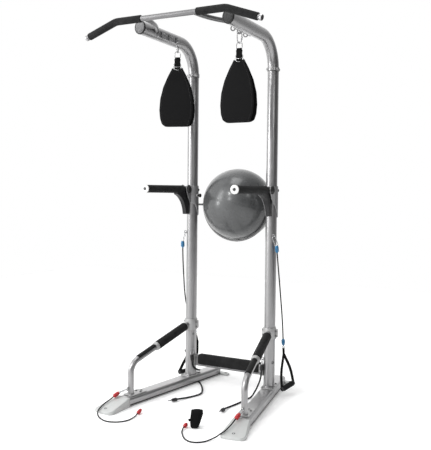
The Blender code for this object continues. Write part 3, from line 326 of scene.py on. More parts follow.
def sweep(points, section, up=Z_AXIS, closed=False, sizes=None):
    """A section (across, along up) carried along points; returns vertices and faces."""
    points = [Vector(point) for point in points]
    ways = tangents_of(points, closed)
    normal, verts = Vector(up), []
    for i, (point, way) in enumerate(zip(points, ways)):
        normal = (normal - way * normal.dot(way)).normalized()
        across = way.cross(normal)
        wide, tall = sizes[i] if sizes else (1.0, 1.0)
        verts += [point + across * (u * wide) + normal * (v * tall) for u, v in section]
    return verts, walls(len(points), len(section), closed)


def tube(points, radius, sides=32, up=Z_AXIS, closed=False):
    return sweep(points, ellipse(radius, sides=sides), up, closed)


def soft_tube(points, radius, rim, sides=40):
    """A tube whose two ends are rounded over by rim."""
    points = [Vector(point) for point in points]
    front, back = (points[0] - points[1]).normalized(), (points[-1] - points[-2]).normalized()
    lead, tail, small = [], [], []
    for k in range(5):
        a = math.pi / 2 * k / 5
        lead.append(points[0] - front * rim * (1 - math.cos(a)))
        tail.append(points[-1] - back * rim * (1 - math.cos(a)))
        small.append(1 - rim / radius * (1 - math.sin(a)))
    body = [points[0] - front * rim] + points[1:-1] + [points[-1] - back * rim]
    sizes = [(s, s) for s in small] + [(1, 1)] * len(body) + [(s, s) for s in small[::-1]]
    return sweep(lead + body + tail[::-1], ellipse(radius, sides=sides), sizes=sizes)


def turned(start, direction, profile, sides=32, oval=(1.0, 1.0)):
    """A solid turned about an axis, from (distance, radius) pairs."""
    place, verts = Matrix.Translation(start) @ turned_to(direction), []
    for distance, radius in profile:
        ring = ellipse(max(radius, 1e-5), sides=sides)
        verts += [place @ Vector((u * oval[0], v * oval[1], distance)) for u, v in ring]
    return verts, walls(len(profile), sides)


def hoop(centre, major, wire, axis, segments=36, sides=14):
    place = Matrix.Translation(centre) @ turned_to(axis)
    points = [place @ Vector((x, y, 0)) for x, y in ellipse(major, sides=segments)]
    return sweep(points, ellipse(wire, sides=sides), axis, True)


def slab(outline, low, high, place=Matrix()):
    """A flat outline extruded from low to high along Z of its frame."""
    verts = [place @ Vector((x, y, z)) for z in (low, high) for x, y in outline]
    return verts, walls(2, len(outline))


def merge(*solids):
    verts, faces = [], []
    for more_verts, more_faces in solids:
        start = len(verts)
        verts += list(more_verts)
        faces += [tuple(i + start for i in face) for face in more_faces]
    return verts, faces


def piece(name, solid, look, body="stand", node=None, place=ORIGIN, bevel=0.0, smooth=45, subdivide=0):
    """One finished piece, from a solid or a list of them; node is the CAD node it stands for."""
    if isinstance(solid, list):
        solid = merge(*solid)
    mesh = bpy.data.meshes.new(name)
    mesh.from_pydata([tuple(place @ Vector(vert)) for vert in solid[0]], [], solid[1])
    work = bmesh.new()
    work.from_mesh(mesh)
    bmesh.ops.recalc_face_normals(work, faces=work.faces)
    work.to_mesh(mesh)
    work.free()
    material, slot = LOOK[look]
    mesh.materials.append(material)
    mesh.shade_smooth()
    mesh.set_sharp_from_angle(angle=math.radians(smooth))
    made = add(name, mesh)
    if bevel:
        step = made.modifiers.new("bevel", "BEVEL")
        step.width = bevel
        step.segments = 3
        step.limit_method = "ANGLE"
        step.angle_limit = math.radians(40)
    if subdivide:
        step = made.modifiers.new("subdivide", "SUBSURF")
        step.levels = step.render_levels = subdivide
    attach(made, body)
    if node:
        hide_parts(node)
    return made


def bolt(at, direction, radius, height):
    """A button-head bolt with a socket, on a thin washer."""
    profile = [(0.0, radius * 1.45), (0.0012, radius * 1.45), (0.0012, radius), (height * 0.55, radius),
               (height * 0.9, radius * 0.75), (height, radius * 0.45), (height * 0.45, radius * 0.42),
               (height * 0.45, 0.0)]
    return turned(at, direction, profile, 20)


def smooth_route(points, spacing):
    """Points at an even spacing along a Catmull-Rom curve through the given ones."""
    knots = [Vector(point) for point in points]
    knots = [2 * knots[0] - knots[1]] + knots + [2 * knots[-1] - knots[-2]]
    fine = []
    for a, b, c, d in zip(knots, knots[1:], knots[2:], knots[3:]):
        for k in range(16):
            t = k / 16
            fine.append(0.5 * (2 * b + (c - a) * t + (2 * a - 5 * b + 4 * c - d) * t ** 2
                               + (3 * b - a - 3 * c + d) * t ** 3))
    fine.append(knots[-2])
    lengths = [0.0]
    for a, b in zip(fine, fine[1:]):
        lengths.append(lengths[-1] + (b - a).length)
    count = max(4, round(lengths[-1] / spacing))
    return [point_at(fine, lengths, lengths[-1] * i / count) for i in range(count + 1)]


def point_at(fine, lengths, distance):
    for i in range(1, len(fine)):
        if lengths[i] >= distance - 1e-9:
            part = (distance - lengths[i - 1]) / (lengths[i] - lengths[i - 1])
            return fine[i - 1].lerp(fine[i], part)
    return fine[-1]


# ---------------------------------------------------------------- camera, floor and light

def camera():
    yaw, pitch, roll = math.radians(27.6), math.radians(-1.71), math.radians(0.63)
    back = Vector((math.sin(yaw) * math.cos(pitch), -math.cos(yaw) * math.cos(pitch), -math.sin(pitch)))
    right = Vector((math.cos(yaw), math.sin(yaw), 0.0))
    up = back.cross(right)
    across = math.cos(roll) * right + math.sin(roll) * up
    above = -math.sin(roll) * right + math.cos(roll) * up
    data = bpy.data.cameras.new("camera")
    data.sensor_fit = "HORIZONTAL"
    data.sensor_width = 36.0
    data.lens = 55.76
    data.shift_x = 0.0009
    data.shift_y = -0.0318
    data.clip_end = 60.0
    made = add("camera", data)
    turn = Matrix((across, above, back)).transposed().to_4x4()
    made.matrix_world = Matrix.Translation((1.826, -3.7 + SHIFT_Y, 1.227)) @ turn
    bpy.context.scene.camera = made


def area_light(name, at, target, size, power):
    data = bpy.data.lights.new(name, "AREA")
    data.shape, data.energy = "RECTANGLE", power
    data.size, data.size_y = size
    add(name, data).matrix_world = Matrix.Translation(at) @ turned_to(Vector(at) - Vector(target))


def stage():
    made, tree = new_material("pale_floor", Roughness=0.9, Emission_Color=(1.0, 1.0, 1.0, 1.0),
                              Emission_Strength=0.12, Specular_IOR_Level=0.1)
    colour(tree, noise(tree, 1.5), (0.95, 0.95, 0.95), (0.97, 0.97, 0.97))
    mesh = bpy.data.meshes.new("floor")
    corners = ((-5, -5), (5, -5), (5, 5), (-5, 5))
    mesh.from_pydata([(x, y, -0.0005) for x, y in corners], [], [(0, 1, 2, 3)])
    mesh.materials.append(made)
    add("floor", mesh)
    studio()
    area_light("key", (-2.6, -3.2, 2.9), (0.0, 0.0, 1.1), (0.9, 2.6), 46)
    area_light("fill", (-0.2, -4.4, 2.6), (0.0, 0.0, 1.1), (0.5, 0.5), 14)
    area_light("side", (3.2, -1.6, 2.6), (0.1, 0.0, 1.2), (0.35, 1.6), 12)
    area_light("spark", (-0.4, -3.4, 3.6), (0.0, 0.1, 1.15), (0.3, 0.3), 24)
    area_light("glow", (-2.2, -2.2, 1.6), (0.0, 0.1, 1.15), (0.4, 1.2), 26)
    area_light("top", (0.0, -0.4, 4.6), (0.0, 0.0, 1.0), (1.5, 1.5), 30)
    bpy.context.scene.view_settings.view_transform = "Standard"


def studio():
    """White to look at; as light it falls off towards the right, which shades that side of the tubes."""
    world = bpy.data.worlds.new("studio")
    bpy.context.scene.world = world
    world.use_nodes = True
    tree = world.node_tree
    seen, lit = tree.nodes["Background"], node(tree, "Background")
    set_sockets(seen, {"Color": (1.0, 1.0, 1.0, 1.0), "Strength": 1.0})
    split, mix = node(tree, "SeparateXYZ"), node(tree, "MixShader")
    tree.links.new(node(tree, "TexCoord").outputs["Generated"], split.inputs["Vector"])
    tree.links.new(spread(tree, split.outputs["X"], 1.85, 0.12, -0.45, 0.8), lit.inputs["Strength"])
    tree.links.new(node(tree, "LightPath").outputs["Is Camera Ray"], mix.inputs[0])
    tree.links.new(lit.outputs["Background"], mix.inputs[1])
    tree.links.new(seen.outputs["Background"], mix.inputs[2])
    tree.links.new(mix.outputs["Shader"], tree.nodes["World Output"].inputs["Surface"])


camera()
stage()


# ---------------------------------------------------------------- cords

RED_R, BLUE_R, BLACK_R = 0.0035, 0.004, 0.005
# each cord: its radius and its route's points from part.py, before the shift to ORIGIN
ROUTES = {
    "front_cord_L": (RED_R, (
        (-0.4135, -0.6376, 0.056), (-0.42, -0.665, 0.0455), (-0.427, -0.7034, 0.034), (-0.419, -0.76, 0.0215),
        (-0.401, -0.797, 0.0095), (-0.3602, -0.8325, 0.0042), (-0.3014, -0.858, 0.004),
        (-0.245, -0.8443, 0.004), (-0.208, -0.798, 0.004), (-0.203, -0.735, 0.0055), (-0.209, -0.7, 0.01),
        (-0.2105, -0.692, 0.0105))),
    "front_cord_R": (RED_R, (
        (0.3585, -0.641, 0.061), (0.3575, -0.665, 0.053), (0.356, -0.695, 0.044), (0.348, -0.7434, 0.029),
        (0.337, -0.771, 0.0215), (0.3216, -0.797, 0.0095), (0.2934, -0.8603, 0.004), (0.2453, -0.8932, 0.004),
        (0.1936, -0.874, 0.004), (0.1429, -0.8151, 0.004), (0.123, -0.7781, 0.006), (0.1155, -0.752, 0.01),
        (0.115, -0.744, 0.0105))),
    "side_cord_L": (BLUE_R, (
        (-0.323, -0.029, 0.866), (-0.327, -0.018, 0.79), (-0.33, -0.002, 0.69), (-0.331, 0.013, 0.59),
        (-0.327, 0.03, 0.5), (-0.313, 0.052, 0.425), (-0.299, 0.068, 0.38), (-0.292, 0.076, 0.34))),
    "side_cord_R": (BLUE_R, (
        (0.325, -0.029, 0.866), (0.329, -0.021, 0.79), (0.334, -0.008, 0.69), (0.338, 0.006, 0.59),
        (0.342, 0.017, 0.5), (0.345, 0.025, 0.42), (0.346, 0.029, 0.37), (0.3465, 0.031, 0.346))),
    "floor_cord_L": (BLACK_R, (
        (-0.2375, -0.04, 0.15), (-0.2345, -0.035, 0.12), (-0.223, -0.006, 0.093), (-0.225, 0.034, 0.079),
        (-0.25, 0.064, 0.069), (-0.285, 0.078, 0.064), (-0.316, 0.079, 0.054), (-0.333, 0.074, 0.032),
        (-0.326, 0.068, 0.011), (-0.295, 0.06, 0.0058), (-0.245, 0.04, 0.0056), (-0.195, -0.01, 0.0055),
        (-0.148, -0.075, 0.0055), (-0.113, -0.135, 0.0055), (-0.093, -0.19, 0.0055), (-0.1, -0.245, 0.0055),
        (-0.127, -0.308, 0.006), (-0.147, -0.36, 0.0102), (-0.15, -0.37, 0.0105))),
    "floor_cord_R": (BLACK_R, (
        (0.2375, -0.04, 0.15), (0.235, -0.044, 0.11), (0.222, -0.054, 0.064), (0.208, -0.072, 0.026),
        (0.203, -0.108, 0.0078), (0.196, -0.16, 0.0058), (0.188, -0.225, 0.0055), (0.176, -0.295, 0.0055),
        (0.166, -0.345, 0.006), (0.167, -0.382, 0.0102), (0.168, -0.392, 0.0105))),
}
ENDS = {"front": ("red", 0.012, 0.0104), "side": ("blue", 0.012, 0.0112),
        "floor": ("plastic", 0.0115, 0.0105)}
LINK_WIRE, LINK_HALF = 0.0023, 0.0095
EYE_MAJOR, EYE_WIRE = 0.008, 0.0022
HANDLE_EYE = Vector((0.0, -HANDLE_FOOT - HANDLE_R - 0.0074, 0.09))     # in its runner's frame


def tip_of(name, last):
    """The tip of a cord and the way out of it."""
    radius, route = ROUTES[name]
    points = smooth_route(route, radius * 2 * 2.9)
    tip, inside = (points[-1], points[-2]) if last else (points[0], points[1])
    return tip, (tip - inside).normalized()


def cord_curve(name):
    radius, route = ROUTES[name]
    points = smooth_route(route, radius * 1.2)
    data = bpy.data.curves.new(name + "_line", "CURVE")
    data.dimensions = "3D"
    data.bevel_depth, data.bevel_resolution = radius, 4
    data.use_fill_caps = True
    spline = data.splines.new("POLY")
    spline.points.add(len(points) - 1)
    for knot, point in zip(spline.points, points):
        knot.co = (*(ORIGIN @ point), 1.0)
    material, slot = LOOK["sheath"]
    data.materials.append(material)
    made = add(name + "_line", data)
    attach(made, "stand")
    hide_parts(name)
    length = sum((b - a).length for a, b in zip(points, points[1:]))
    return made, length, ORIGIN @ points[0]


def barrel(tip, out, thin, radius, length, neck=0.0):
    """A moulded cord end: a cuff, shallow grip ribs, a taper and a neck."""
    profile = [(0.0, thin + 0.0005), (0.0006, thin + 0.0014), (length * 0.12, thin + 0.0022)]
    for k in range(5):
        at = length * (0.2 + 0.1 * k)
        profile += [(at, radius * 0.97), (at + length * 0.05, radius * 1.0),
                    (at + length * 0.055, radius * 0.93)]
    profile += [(length * 0.75, radius * 0.96), (length * 0.93, radius * 0.8), (length, radius * 0.7)]
    if neck:
        profile += [(length + 0.0002, 0.0034), (length + neck, 0.003)]
    return turned(tip, out, profile, 32)


def link_loop(half, tall, wire, top, place):
    outline = arc((0, top - half), half, 0, 180, 14) + arc((0, top - tall + half), half, 180, 360, 14)
    return sweep([place @ Vector((x, 0, z)) for x, z in outline[:-1]], ellipse(wire, sides=14),
                 place.to_3x3() @ Vector(Y_AXIS), True)


def surface_direction(side, degrees):
    a = math.radians(degrees)
    out = Vector((side * math.sin(a), -math.cos(a), 0.0))
    reach = 1.0 / math.hypot(out.x / TUBE_RX, out.y / TUBE_RY)
    return Vector((side * UPRIGHT_X, 0.0, 0.0)) + out * reach, out


def eye_centre(side, degrees, height):
    start, out = surface_direction(side, degrees)
    return start + out * (EYE_MAJOR + 0.0006) + Vector((0, 0, height)), out


def clip_link(name, wire_point, tangent, slack):
    tip, out = tip_of(name, False)
    top = tip + out * CLIP_BARREL
    away = Vector(wire_point) - top
    apex = away.length + EYE_WIRE + LINK_WIRE + slack
    lift = away.normalized()
    across = Vector(tangent).cross(lift).normalized()
    turn = Matrix((across, lift.cross(across), lift)).transposed().to_4x4()
    place = Matrix.Translation(top) @ turn
    nut = turned(top - out * 0.002, lift, [(0.0, 0.0045), (0.006, 0.0045), (0.008, 0.003)], 18)
    return merge(link_loop(LINK_HALF, apex + 0.004, LINK_WIRE, apex, place), nut)


def fixed_end(kind, side, tag):
    """A cord's fixed end: its moulded barrel and the wire link through the eye."""
    name, clip = f"{kind}_cord_{tag}", f"{kind}_clip_{tag}"
    look, radius, _ = ENDS[kind]
    tip, out = tip_of(name, False)
    shell = barrel(tip, out, ROUTES[name][0], radius, CLIP_BARREL)
    body = piece(clip + "_barrel", shell, look, node=clip)
    if kind == "front":
        place = ORIGIN.inverted() @ runner_frame(side)
        loop = clip_link(name, place @ (HANDLE_EYE + Vector((0, -EYE_MAJOR, 0))), Z_AXIS, 0.003)
    else:
        centre, away = eye_centre(side, *(SIDE_EYE if kind == "side" else FLOOR_EYE))
        loop = clip_link(name, centre - Vector((0, 0, EYE_MAJOR)), away, 0.0014)
    return [body, piece(clip + "_link", loop, "chrome")]


def free_barrel(kind, tag, length, neck):
    name = f"{kind}_cord_{tag}"
    look, _, radius = ENDS[kind]
    tip, out = tip_of(name, True)
    made = piece(f"{kind}_end_{tag}_barrel", barrel(tip, out, ROUTES[name][0], radius, length, neck), look,
                 node=f"{kind}_end_{tag}")
    return made, tip, out


def snap_hook(name, tip, out, start):
    """A small bright snap hook lying flat: a swivel eye, an open bow and its gate."""
    level = out.cross(Z_AXIS).normalized()
    base = tip + out * start
    angles = [math.radians(a) for a in range(20, 341, 16)]
    bow = [base + out * (0.004 + 0.0105 * (1 - math.cos(a))) + level * (0.0062 * math.sin(a)) for a in angles]
    gate = [base + out * 0.0075 + level * 0.0052, base + out * 0.013 + level * 0.0046]
    post = turned(base - out * 0.002, out, [(0, 0.0036), (0.005, 0.0036), (0.0065, 0.0024)], 20)
    return piece(name, merge(tube(bow, 0.0019, 12), tube(gate, 0.0013, 10), post), "chrome")


def flat_strap(points, half_width, thickness, up):
    return sweep(points, rectangle(half_width, thickness / 2, thickness * 0.35, 3), up)


def stirrup(tag, left, right):
    """A webbing stirrup: ring, doubled strap, fork, two legs and a foam-covered grip."""
    tip, out = tip_of(f"side_cord_{tag}", True)
    left, right = Vector(left), Vector(right)
    along = (right - left).normalized()
    feet = ((left, -along), (right, along))
    ring = hoop(tip + out * 0.0504, EYE_MAJOR, EYE_WIRE, out.cross(Z_AXIS))
    piece(f"stirrup_ring_{tag}", ring, "chrome")
    top, fork = tip + out * 0.056, tip + out * 0.1
    across = out.cross(along - out * along.dot(out)).normalized()
    straps = [flat_strap([top, top.lerp(fork, 0.5), fork + out * 0.006], 0.0085, 0.0045, across)]
    for foot, away in feet:
        end = foot + away * 0.004
        path = smooth_route([fork - out * 0.006, fork.lerp(end, 0.5) + away * 0.012, end], 0.008)
        straps.append(flat_strap(path, 0.0095, 0.0026, across))
    piece(f"stirrup_webbing_{tag}", straps, "webbing")
    shell = soft_tube([left + along * 0.004, left.lerp(right, 0.5), right - along * 0.004], 0.0158, 0.004, 36)
    piece(f"stirrup_grip_{tag}", shell, "foam")
    end_cap = [(0, 0.0135), (0.008, 0.0135), (0.01, 0.012), (0.0125, 0.007)]
    ends = [turned(foot - away * 0.004, away, end_cap, 28) for foot, away in feet]
    piece(f"stirrup_ends_{tag}", ends, "plastic")


# cord kind, side, length of the free barrel and of its neck
FREE_ENDS = (("front", "L", 0.048, 0.0), ("front", "R", 0.032, 0.005), ("floor", "L", 0.042, 0.01),
             ("floor", "R", 0.042, 0.01), ("side", "L", 0.038, 0.006), ("side", "R", 0.038, 0.006))


def cords():
    made = {f"{kind}_cord_{tag}": fixed_end(kind, side, tag) for side, tag in SIDES for kind in ENDS}
    for kind, tag, length, neck in FREE_ENDS:
        end, tip, out = free_barrel(kind, tag, length, neck)
        made[f"{kind}_cord_{tag}"].append(end)
        if kind == "floor":
            made[f"floor_cord_{tag}"].append(snap_hook(f"floor_hook_{tag}", tip, out, length + 0.004))
    stirrup("L", (-0.392, 0.062, 0.036), (-0.335, 0.128, 0.044))
    stirrup("R", (0.354, 0.012, 0.045), (0.392, 0.088, 0.07))
    for name, pieces in made.items():
        curve, length, start = cord_curve(name)


cords()


# ---------------------------------------------------------------- shared shapes

# (x, y) of an outline becomes (Y, Z)
SIDE_ON = Matrix(((0, 0, 1, 0), (1, 0, 0, 0), (0, 1, 0, 0), (0, 0, 0, 1)))
TOP_Z = RUNNER_TOP + 0.0003


def oval_path(side, z, grow, sides=56):
    return [(side * UPRIGHT_X + x, y, z) for x, y in ellipse(TUBE_RX + grow, TUBE_RY + grow, sides)]


def band(side, low, high, inner, outer, edge=0.0012):
    """An oval band round an upright, from inner to outer clearance."""
    section = rectangle((outer - inner) / 2, (high - low) / 2, min(edge, (outer - inner) * 0.45), 3)
    return sweep(oval_path(side, (low + high) / 2, (inner + outer) / 2), section, Z_AXIS, True)


def weld(points, radius):
    """A rippled weld bead along a closed path."""
    sizes = [(1 + 0.16 * math.sin(i * 2.1), 1 + 0.16 * math.cos(i * 2.1)) for i in range(len(points))]
    return sweep(points, ellipse(radius, sides=8), Z_AXIS, True, sizes)


def side_slab(outline, x_low, x_high):
    return slab(outline, x_low, x_high, SIDE_ON)


# ---------------------------------------------------------------- base

def split_outline(points):
    """A closed outline with its sides split into parts of about 10 mm."""
    out = []
    for i, point in enumerate(points):
        after = Vector(points[(i + 1) % len(points)])
        here = Vector(point)
        parts = max(1, round((after - here).length / 0.01))
        out += [tuple(here.lerp(after, k / parts)) for k in range(parts)]
    return out


FOOT_REAR = RUNNER_FRONT - 0.0003


def foot_height(x, y):
    """Top of a front foot: a ramp with a ridge along its middle."""
    along = (FOOT_REAR - y) / (FOOT_REAR - FOOT_TIP)
    height = RUNNER_TOP + (FOOT_TIP_TOP - RUNNER_TOP) * along
    return height + 0.0016 * math.exp(-(x / 0.01) ** 2) * math.sin(math.pi * min(1.0, max(0.0, along)) * 0.8)


def front_foot(side, tag):
    rows, columns, reach, lip = 26, 24, 0.036, 0.0045
    across, verts = columns + 1, []
    for i in range(rows + 1):
        y = FOOT_REAR + (FOOT_TIP - FOOT_REAR) * (1 - (1 - i / rows) ** 1.3)
        half = 0.046 + 0.026 * (FOOT_REAR - y) / (FOOT_REAR - FOOT_TIP)
        if y < FOOT_TIP + reach:
            half -= reach - math.sqrt(max(0.0, reach ** 2 - (FOOT_TIP + reach - y) ** 2))
        for j in range(across):
            x = half * (2 * j / columns - 1)
            drop = lip * (1 - min(1.0, min(half - abs(x), y - FOOT_TIP) / lip)) ** 2
            verts.append((x, y, foot_height(x, y) - drop))
    faces = [(a, a + 1, a + across + 1, a + across) for i in range(rows)
             for a in range(i * across, i * across + columns)]
    rim = list(range(across)) + [i * across + columns for i in range(1, rows + 1)]
    rim += [rows * across + j for j in range(columns - 1, -1, -1)]
    rim += [i * across for i in range(rows - 1, 0, -1)]
    start = len(verts)
    edge = [verts[index][:2] for index in rim]
    verts += [(x, y, 0.0025) for x, y in edge]
    verts += [(x * 0.98, y + (0.002 if y < -0.7 else 0.0), 0.0) for x, y in edge]
    count = len(rim)
    for k in range(count):
        n = (k + 1) % count
        faces.append((rim[k], rim[n], start + n, start + k))
        faces.append((start + k, start + n, start + count + n, start + count + k))
    faces.append(tuple(range(start + count, start + 2 * count)))
    frame_of = runner_frame(side)
    piece(f"front_foot_{tag}_shoe", (verts, faces), "foot", node=f"front_foot_{tag}", place=frame_of,
          smooth=32)
    middle, top = -0.745, foot_height(0.0, -0.745)
    hole = [(0.0002, 0.0085), (0.0012, 0.0082), (0.0014, 0.0062), (-0.004, 0.0056), (-0.004, 0.0)]
    slope = Vector((0, FOOT_TIP_TOP - RUNNER_TOP, FOOT_REAR - FOOT_TIP)).normalized()
    piece(f"foot_hole_{tag}", turned((0, middle, top - 0.0006), slope, hole, 24), "zinc", place=frame_of)
    # A thin black disc just inside the hole's mouth stands for its dark depth: painted shade.
    dark = [(-0.0006, 0.0), (-0.0006, 0.006), (-0.0002, 0.006), (-0.0002, 0.0)]
    piece(f"foot_hole_shade_{tag}", turned((0, middle, top), slope, dark, 20), "plastic", place=frame_of)
    side_line = ((0.046, 0.004), (0.046, 0.044), (0.036, 0.0505))
    line = list(side_line) + [(-x, z) for x, z in reversed(side_line)]
    seam = sweep([(x, FOOT_REAR - 0.004, z) for x, z in line], rectangle(0.0035, 0.0022, 0.0008, 2), Y_AXIS)
    piece(f"foot_collar_{tag}", seam, "plate", place=frame_of, bevel=0.0006)


def runner(side, tag):
    frame_of = runner_frame(side)
    half = 0.044
    outline = rounded([(-half, RUNNER_LOW), (half, RUNNER_LOW), (half, RUNNER_TOP), (-half, RUNNER_TOP)],
                      (0.005, 0.005, 0.016, 0.016), 10)
    middle = (RUNNER_LOW + RUNNER_TOP) / 2
    section = [(x, z - middle) for x, z in outline]
    beam = sweep([(0, RUNNER_FRONT, middle), (0, RUNNER_REAR, middle)], section)
    piece(f"runner_{tag}_beam", beam, "paint", node=f"runner_{tag}", place=frame_of, smooth=40)
    strip = sweep([(0, RUNNER_FRONT, 0.0095), (0, RUNNER_REAR, 0.0095)], rectangle(0.043, 0.0028, 0.001, 3),
                  Z_AXIS)
    piece(f"runner_{tag}_strip", strip, "plastic", place=frame_of)
    near = RUNNER_REAR - 0.0012
    far = near + 0.045
    plate = rounded([(-0.095, far), (-0.095, near), (0.095, near), (0.095, far)], (0.02, 0.012, 0.012, 0.02),
                    8)
    plug = slab(rectangle(0.04, 0.019, 0.01, 5), -0.003, 0.003,
                Matrix.Translation((0, near + 0.003, 0.029)) @ Matrix.Rotation(math.pi / 2, 4, "X"))
    piece(f"rear_foot_{tag}", merge(slab(plate, 0.0, 0.012), plug), "foot", place=frame_of, bevel=0.0018)
    heads = [bolt((x, near + 0.026, 0.012), Z_AXIS, 0.0065, 0.004) for x in (-0.07, 0.07)]
    piece(f"rear_foot_bolts_{tag}", heads, "zinc", place=frame_of)


def upright(side, tag):
    rows = [(side * UPRIGHT_X, 0, z) for z in (0.0545, 0.4, 0.8, 1.2, 1.6, SPLIT_Z - 0.003, SPLIT_Z)]
    sizes = [(1.0, 1.0)] * 6 + [(0.965, 0.97)]
    tube_skin = sweep(rows, ellipse(TUBE_RX, TUBE_RY, 64), Y_AXIS, sizes=sizes)
    piece(f"upright_{tag}_tube", tube_skin, "paint", node=f"upright_{tag}")
    frame_of = runner_frame(side)
    flange = slab(rectangle(0.039, 0.06, 0.008), TOP_Z, TOP_Z + 0.006)
    piece(f"flange_{tag}", flange, "plate", place=frame_of, bevel=0.0012)
    heads = [bolt((x, y, TOP_Z + 0.006), Z_AXIS, 0.0062, 0.0055) for x in (-0.029, 0.029)
             for y in (-0.05, 0.05)]
    piece(f"flange_bolts_{tag}", heads, "zinc", place=frame_of)
    piece(f"upright_weld_{tag}", weld(oval_path(side, TOP_Z + 0.0072, 0.0006, 72), 0.003), "paint")
    eyes, nut = [], [(0, 0.0062), (0.003, 0.0062), (0.0042, 0.0045)]
    for eye in (SIDE_EYE, FLOOR_EYE):
        centre, out = eye_centre(side, *eye)
        eyes.append(hoop(centre, EYE_MAJOR, EYE_WIRE, out.cross(Z_AXIS)))
        eyes.append(turned(centre - out * (EYE_MAJOR + 0.002), out, nut, 6))
    piece(f"cord_eyes_{tag}", eyes, "chrome")
    outer, _ = surface_direction(side, 62)
    inner, out = surface_direction(side, -52)
    studs = merge(bolt(outer + Vector((0, 0, 0.205)), (side * 0.9, -0.43, 0), 0.007, 0.007),
                  bolt(inner + Vector((0, 0, 0.32)), out, 0.0055, 0.004))
    piece(f"upright_studs_{tag}", studs, "zinc")


def foot_bar():
    middle = 0.152
    beam = sweep([(-0.2388, 0, middle), (0.2388, 0, middle)], rectangle(0.017, 0.03, 0.006, 6))
    piece("foot_bar_beam", beam, "paint", node="foot_bar", smooth=40)
    plates = []
    for side in (-1, 1):
        x = side * 0.2372
        plates.append(sweep([(x - side * 0.005, 0, middle), (x, 0, middle)],
                            rectangle(0.021, 0.035, 0.008, 5)))
    piece("foot_bar_plates", plates, "plate", bevel=0.001)
    # The tray under the pad takes the darker paint: painted shade.
    tray = sweep([(-0.23, 0, 0.1282), (0.23, 0, 0.1282)], rectangle(0.0272, 0.0052, 0.002, 4))
    piece("foot_bar_tray", tray, "bar")
    top, bottom, y, inner = 0.194, 0.134, 0.028, 0.0176
    arch = rounded([(-y, bottom), (-inner, bottom), (-inner, 0.1826), (inner, 0.1826), (inner, bottom),
                    (y, bottom), (y, top), (-y, top)], (0.0025, 0.0025, 0, 0, 0.0025, 0.0025, 0.019, 0.019),
                   8)
    centre = 0.166
    section = [(-u, v - centre) for u, v in arch]
    rows, sizes = [], []
    for i in range(49):
        x = -0.208 + 0.416 * i / 48
        edge = (0.208 - abs(x)) / 0.006
        pinch = 1 - 0.1 * max(0.0, 1 - edge) ** 2
        rows.append((x, 0, centre))
        sizes.append((pinch * (1 + 0.006 * math.sin(i * 0.9)), pinch * (1 + 0.006 * math.sin(i * 0.7 + 1))))
    pad = piece("foot_bar_foam", sweep(rows, section, Z_AXIS, sizes=sizes), "foam", node="foot_bar_pad",
                smooth=50)


# ---------------------------------------------------------------- booms and pull-up bar

def boom(side, tag):
    bend = arc((-BOOM_BEND, BOOM_Z - BOOM_BEND), BOOM_BEND, 0, 90, 28)
    x = side * UPRIGHT_X
    rows = [(x, 0, SPLIT_Z + 0.0003)] + [(x, y, z) for y, z in bend]
    rows += [(x, -BOOM_BEND - 0.1, BOOM_Z), (x, -0.45, BOOM_Z), (x, BOOM_FRONT, BOOM_Z)]
    tube_skin = sweep(rows, ellipse(TUBE_RX, TUBE_RY, 64), Y_AXIS)
    piece(f"boom_{tag}_tube", tube_skin, "paint", node=f"boom_{tag}")
    piece(f"boom_collar_{tag}", band(side, SPLIT_Z + 0.0003, SPLIT_Z + 0.0223, -0.0005, 0.003, 0.0014),
          "paint")
    piece(f"boom_seam_{tag}", band(side, SPLIT_Z - 0.0022, SPLIT_Z + 0.0004, -0.003, 0.0006, 0.0004),
          "plastic")
    heads = []
    for degrees in (-55, 10, 62, 140):
        start, out = surface_direction(side, degrees)
        heads.append(bolt(start + out * 0.0028 + Vector((0, 0, SPLIT_Z + 0.011)), out, 0.0068, 0.006))
    piece(f"boom_bolts_{tag}", heads, "plate")
    wall = side * (UPRIGHT_X - TUBE_RX)
    plate = rounded([(HOOK_YS[0] - 0.03, 2.1), (HOOK_YS[-1] + 0.03, 2.1), (HOOK_YS[-1] + 0.03, 2.14),
                     (HOOK_YS[0] - 0.03, 2.14)], (0.008,) * 4, 5)
    piece(f"hook_plate_{tag}", side_slab(plate, wall - 0.004, wall + 0.004), "sleeve", bevel=0.001)
    inwards, hole, nut = (-side, 0, 0), [(0, 0.0068), (0.0004, 0.0068)], [(0.003, 0.0072), (0.008, 0.0072),
                                                                          (0.0095, 0.005)]
    heads = [bolt((wall - side * 0.004, y, 2.124), inwards, 0.0048, 0.0042)
             for y in (HOOK_YS[0] - 0.018, -0.405, -0.325, HOOK_YS[-1] + 0.018)]
    piece(f"hook_bolts_{tag}", heads, "zinc")
    # Flat black discs on the plate stand for the dark inside of its holes: painted shade.
    holes = [turned((wall - side * 0.0041, y, 2.127), inwards, hole, 24) for y in HOOK_YS]
    piece(f"hook_hole_shades_{tag}", holes, "plastic")
    hooks = []
    for y in HOOK_YS:
        hooks.append(hoop((side * HOOK_X, y, HOOK_Z), HOOK_MAJOR, HOOK_WIRE, Y_AXIS, 40, 16))
        hooks.append(turned((wall, y, HOOK_Z + 0.002), inwards, nut, 6))
    piece(f"hooks_{tag}", hooks, "cap_grey")
    # Both caps are grey; the right boom's cap face is painted black as painted shade.
    look = "cap_black" if side > 0 else "cap_grey"
    start = (x, BOOM_FRONT, BOOM_Z)
    shape = (TUBE_RX, TUBE_RY)
    rim = [(-0.003, 0.97), (0.0004, 1.0), (0.001, 1.018), (0.008, 1.01), (0.0105, 0.965), (0.011, 0.92),
           (0.01, 0.9), (0.006, 0.895)]
    piece(f"boom_cap_{tag}_rim", turned(start, FORWARD, rim, 48, shape), "cap_black")
    face = [(0.006, 0.905), (0.0088, 0.905), (0.0096, 0.86), (0.0098, 0.6), (0.0099, 0.0)]
    piece(f"boom_cap_{tag}_face", turned(start, FORWARD, face, 48, shape), look, node=f"boom_cap_{tag}")


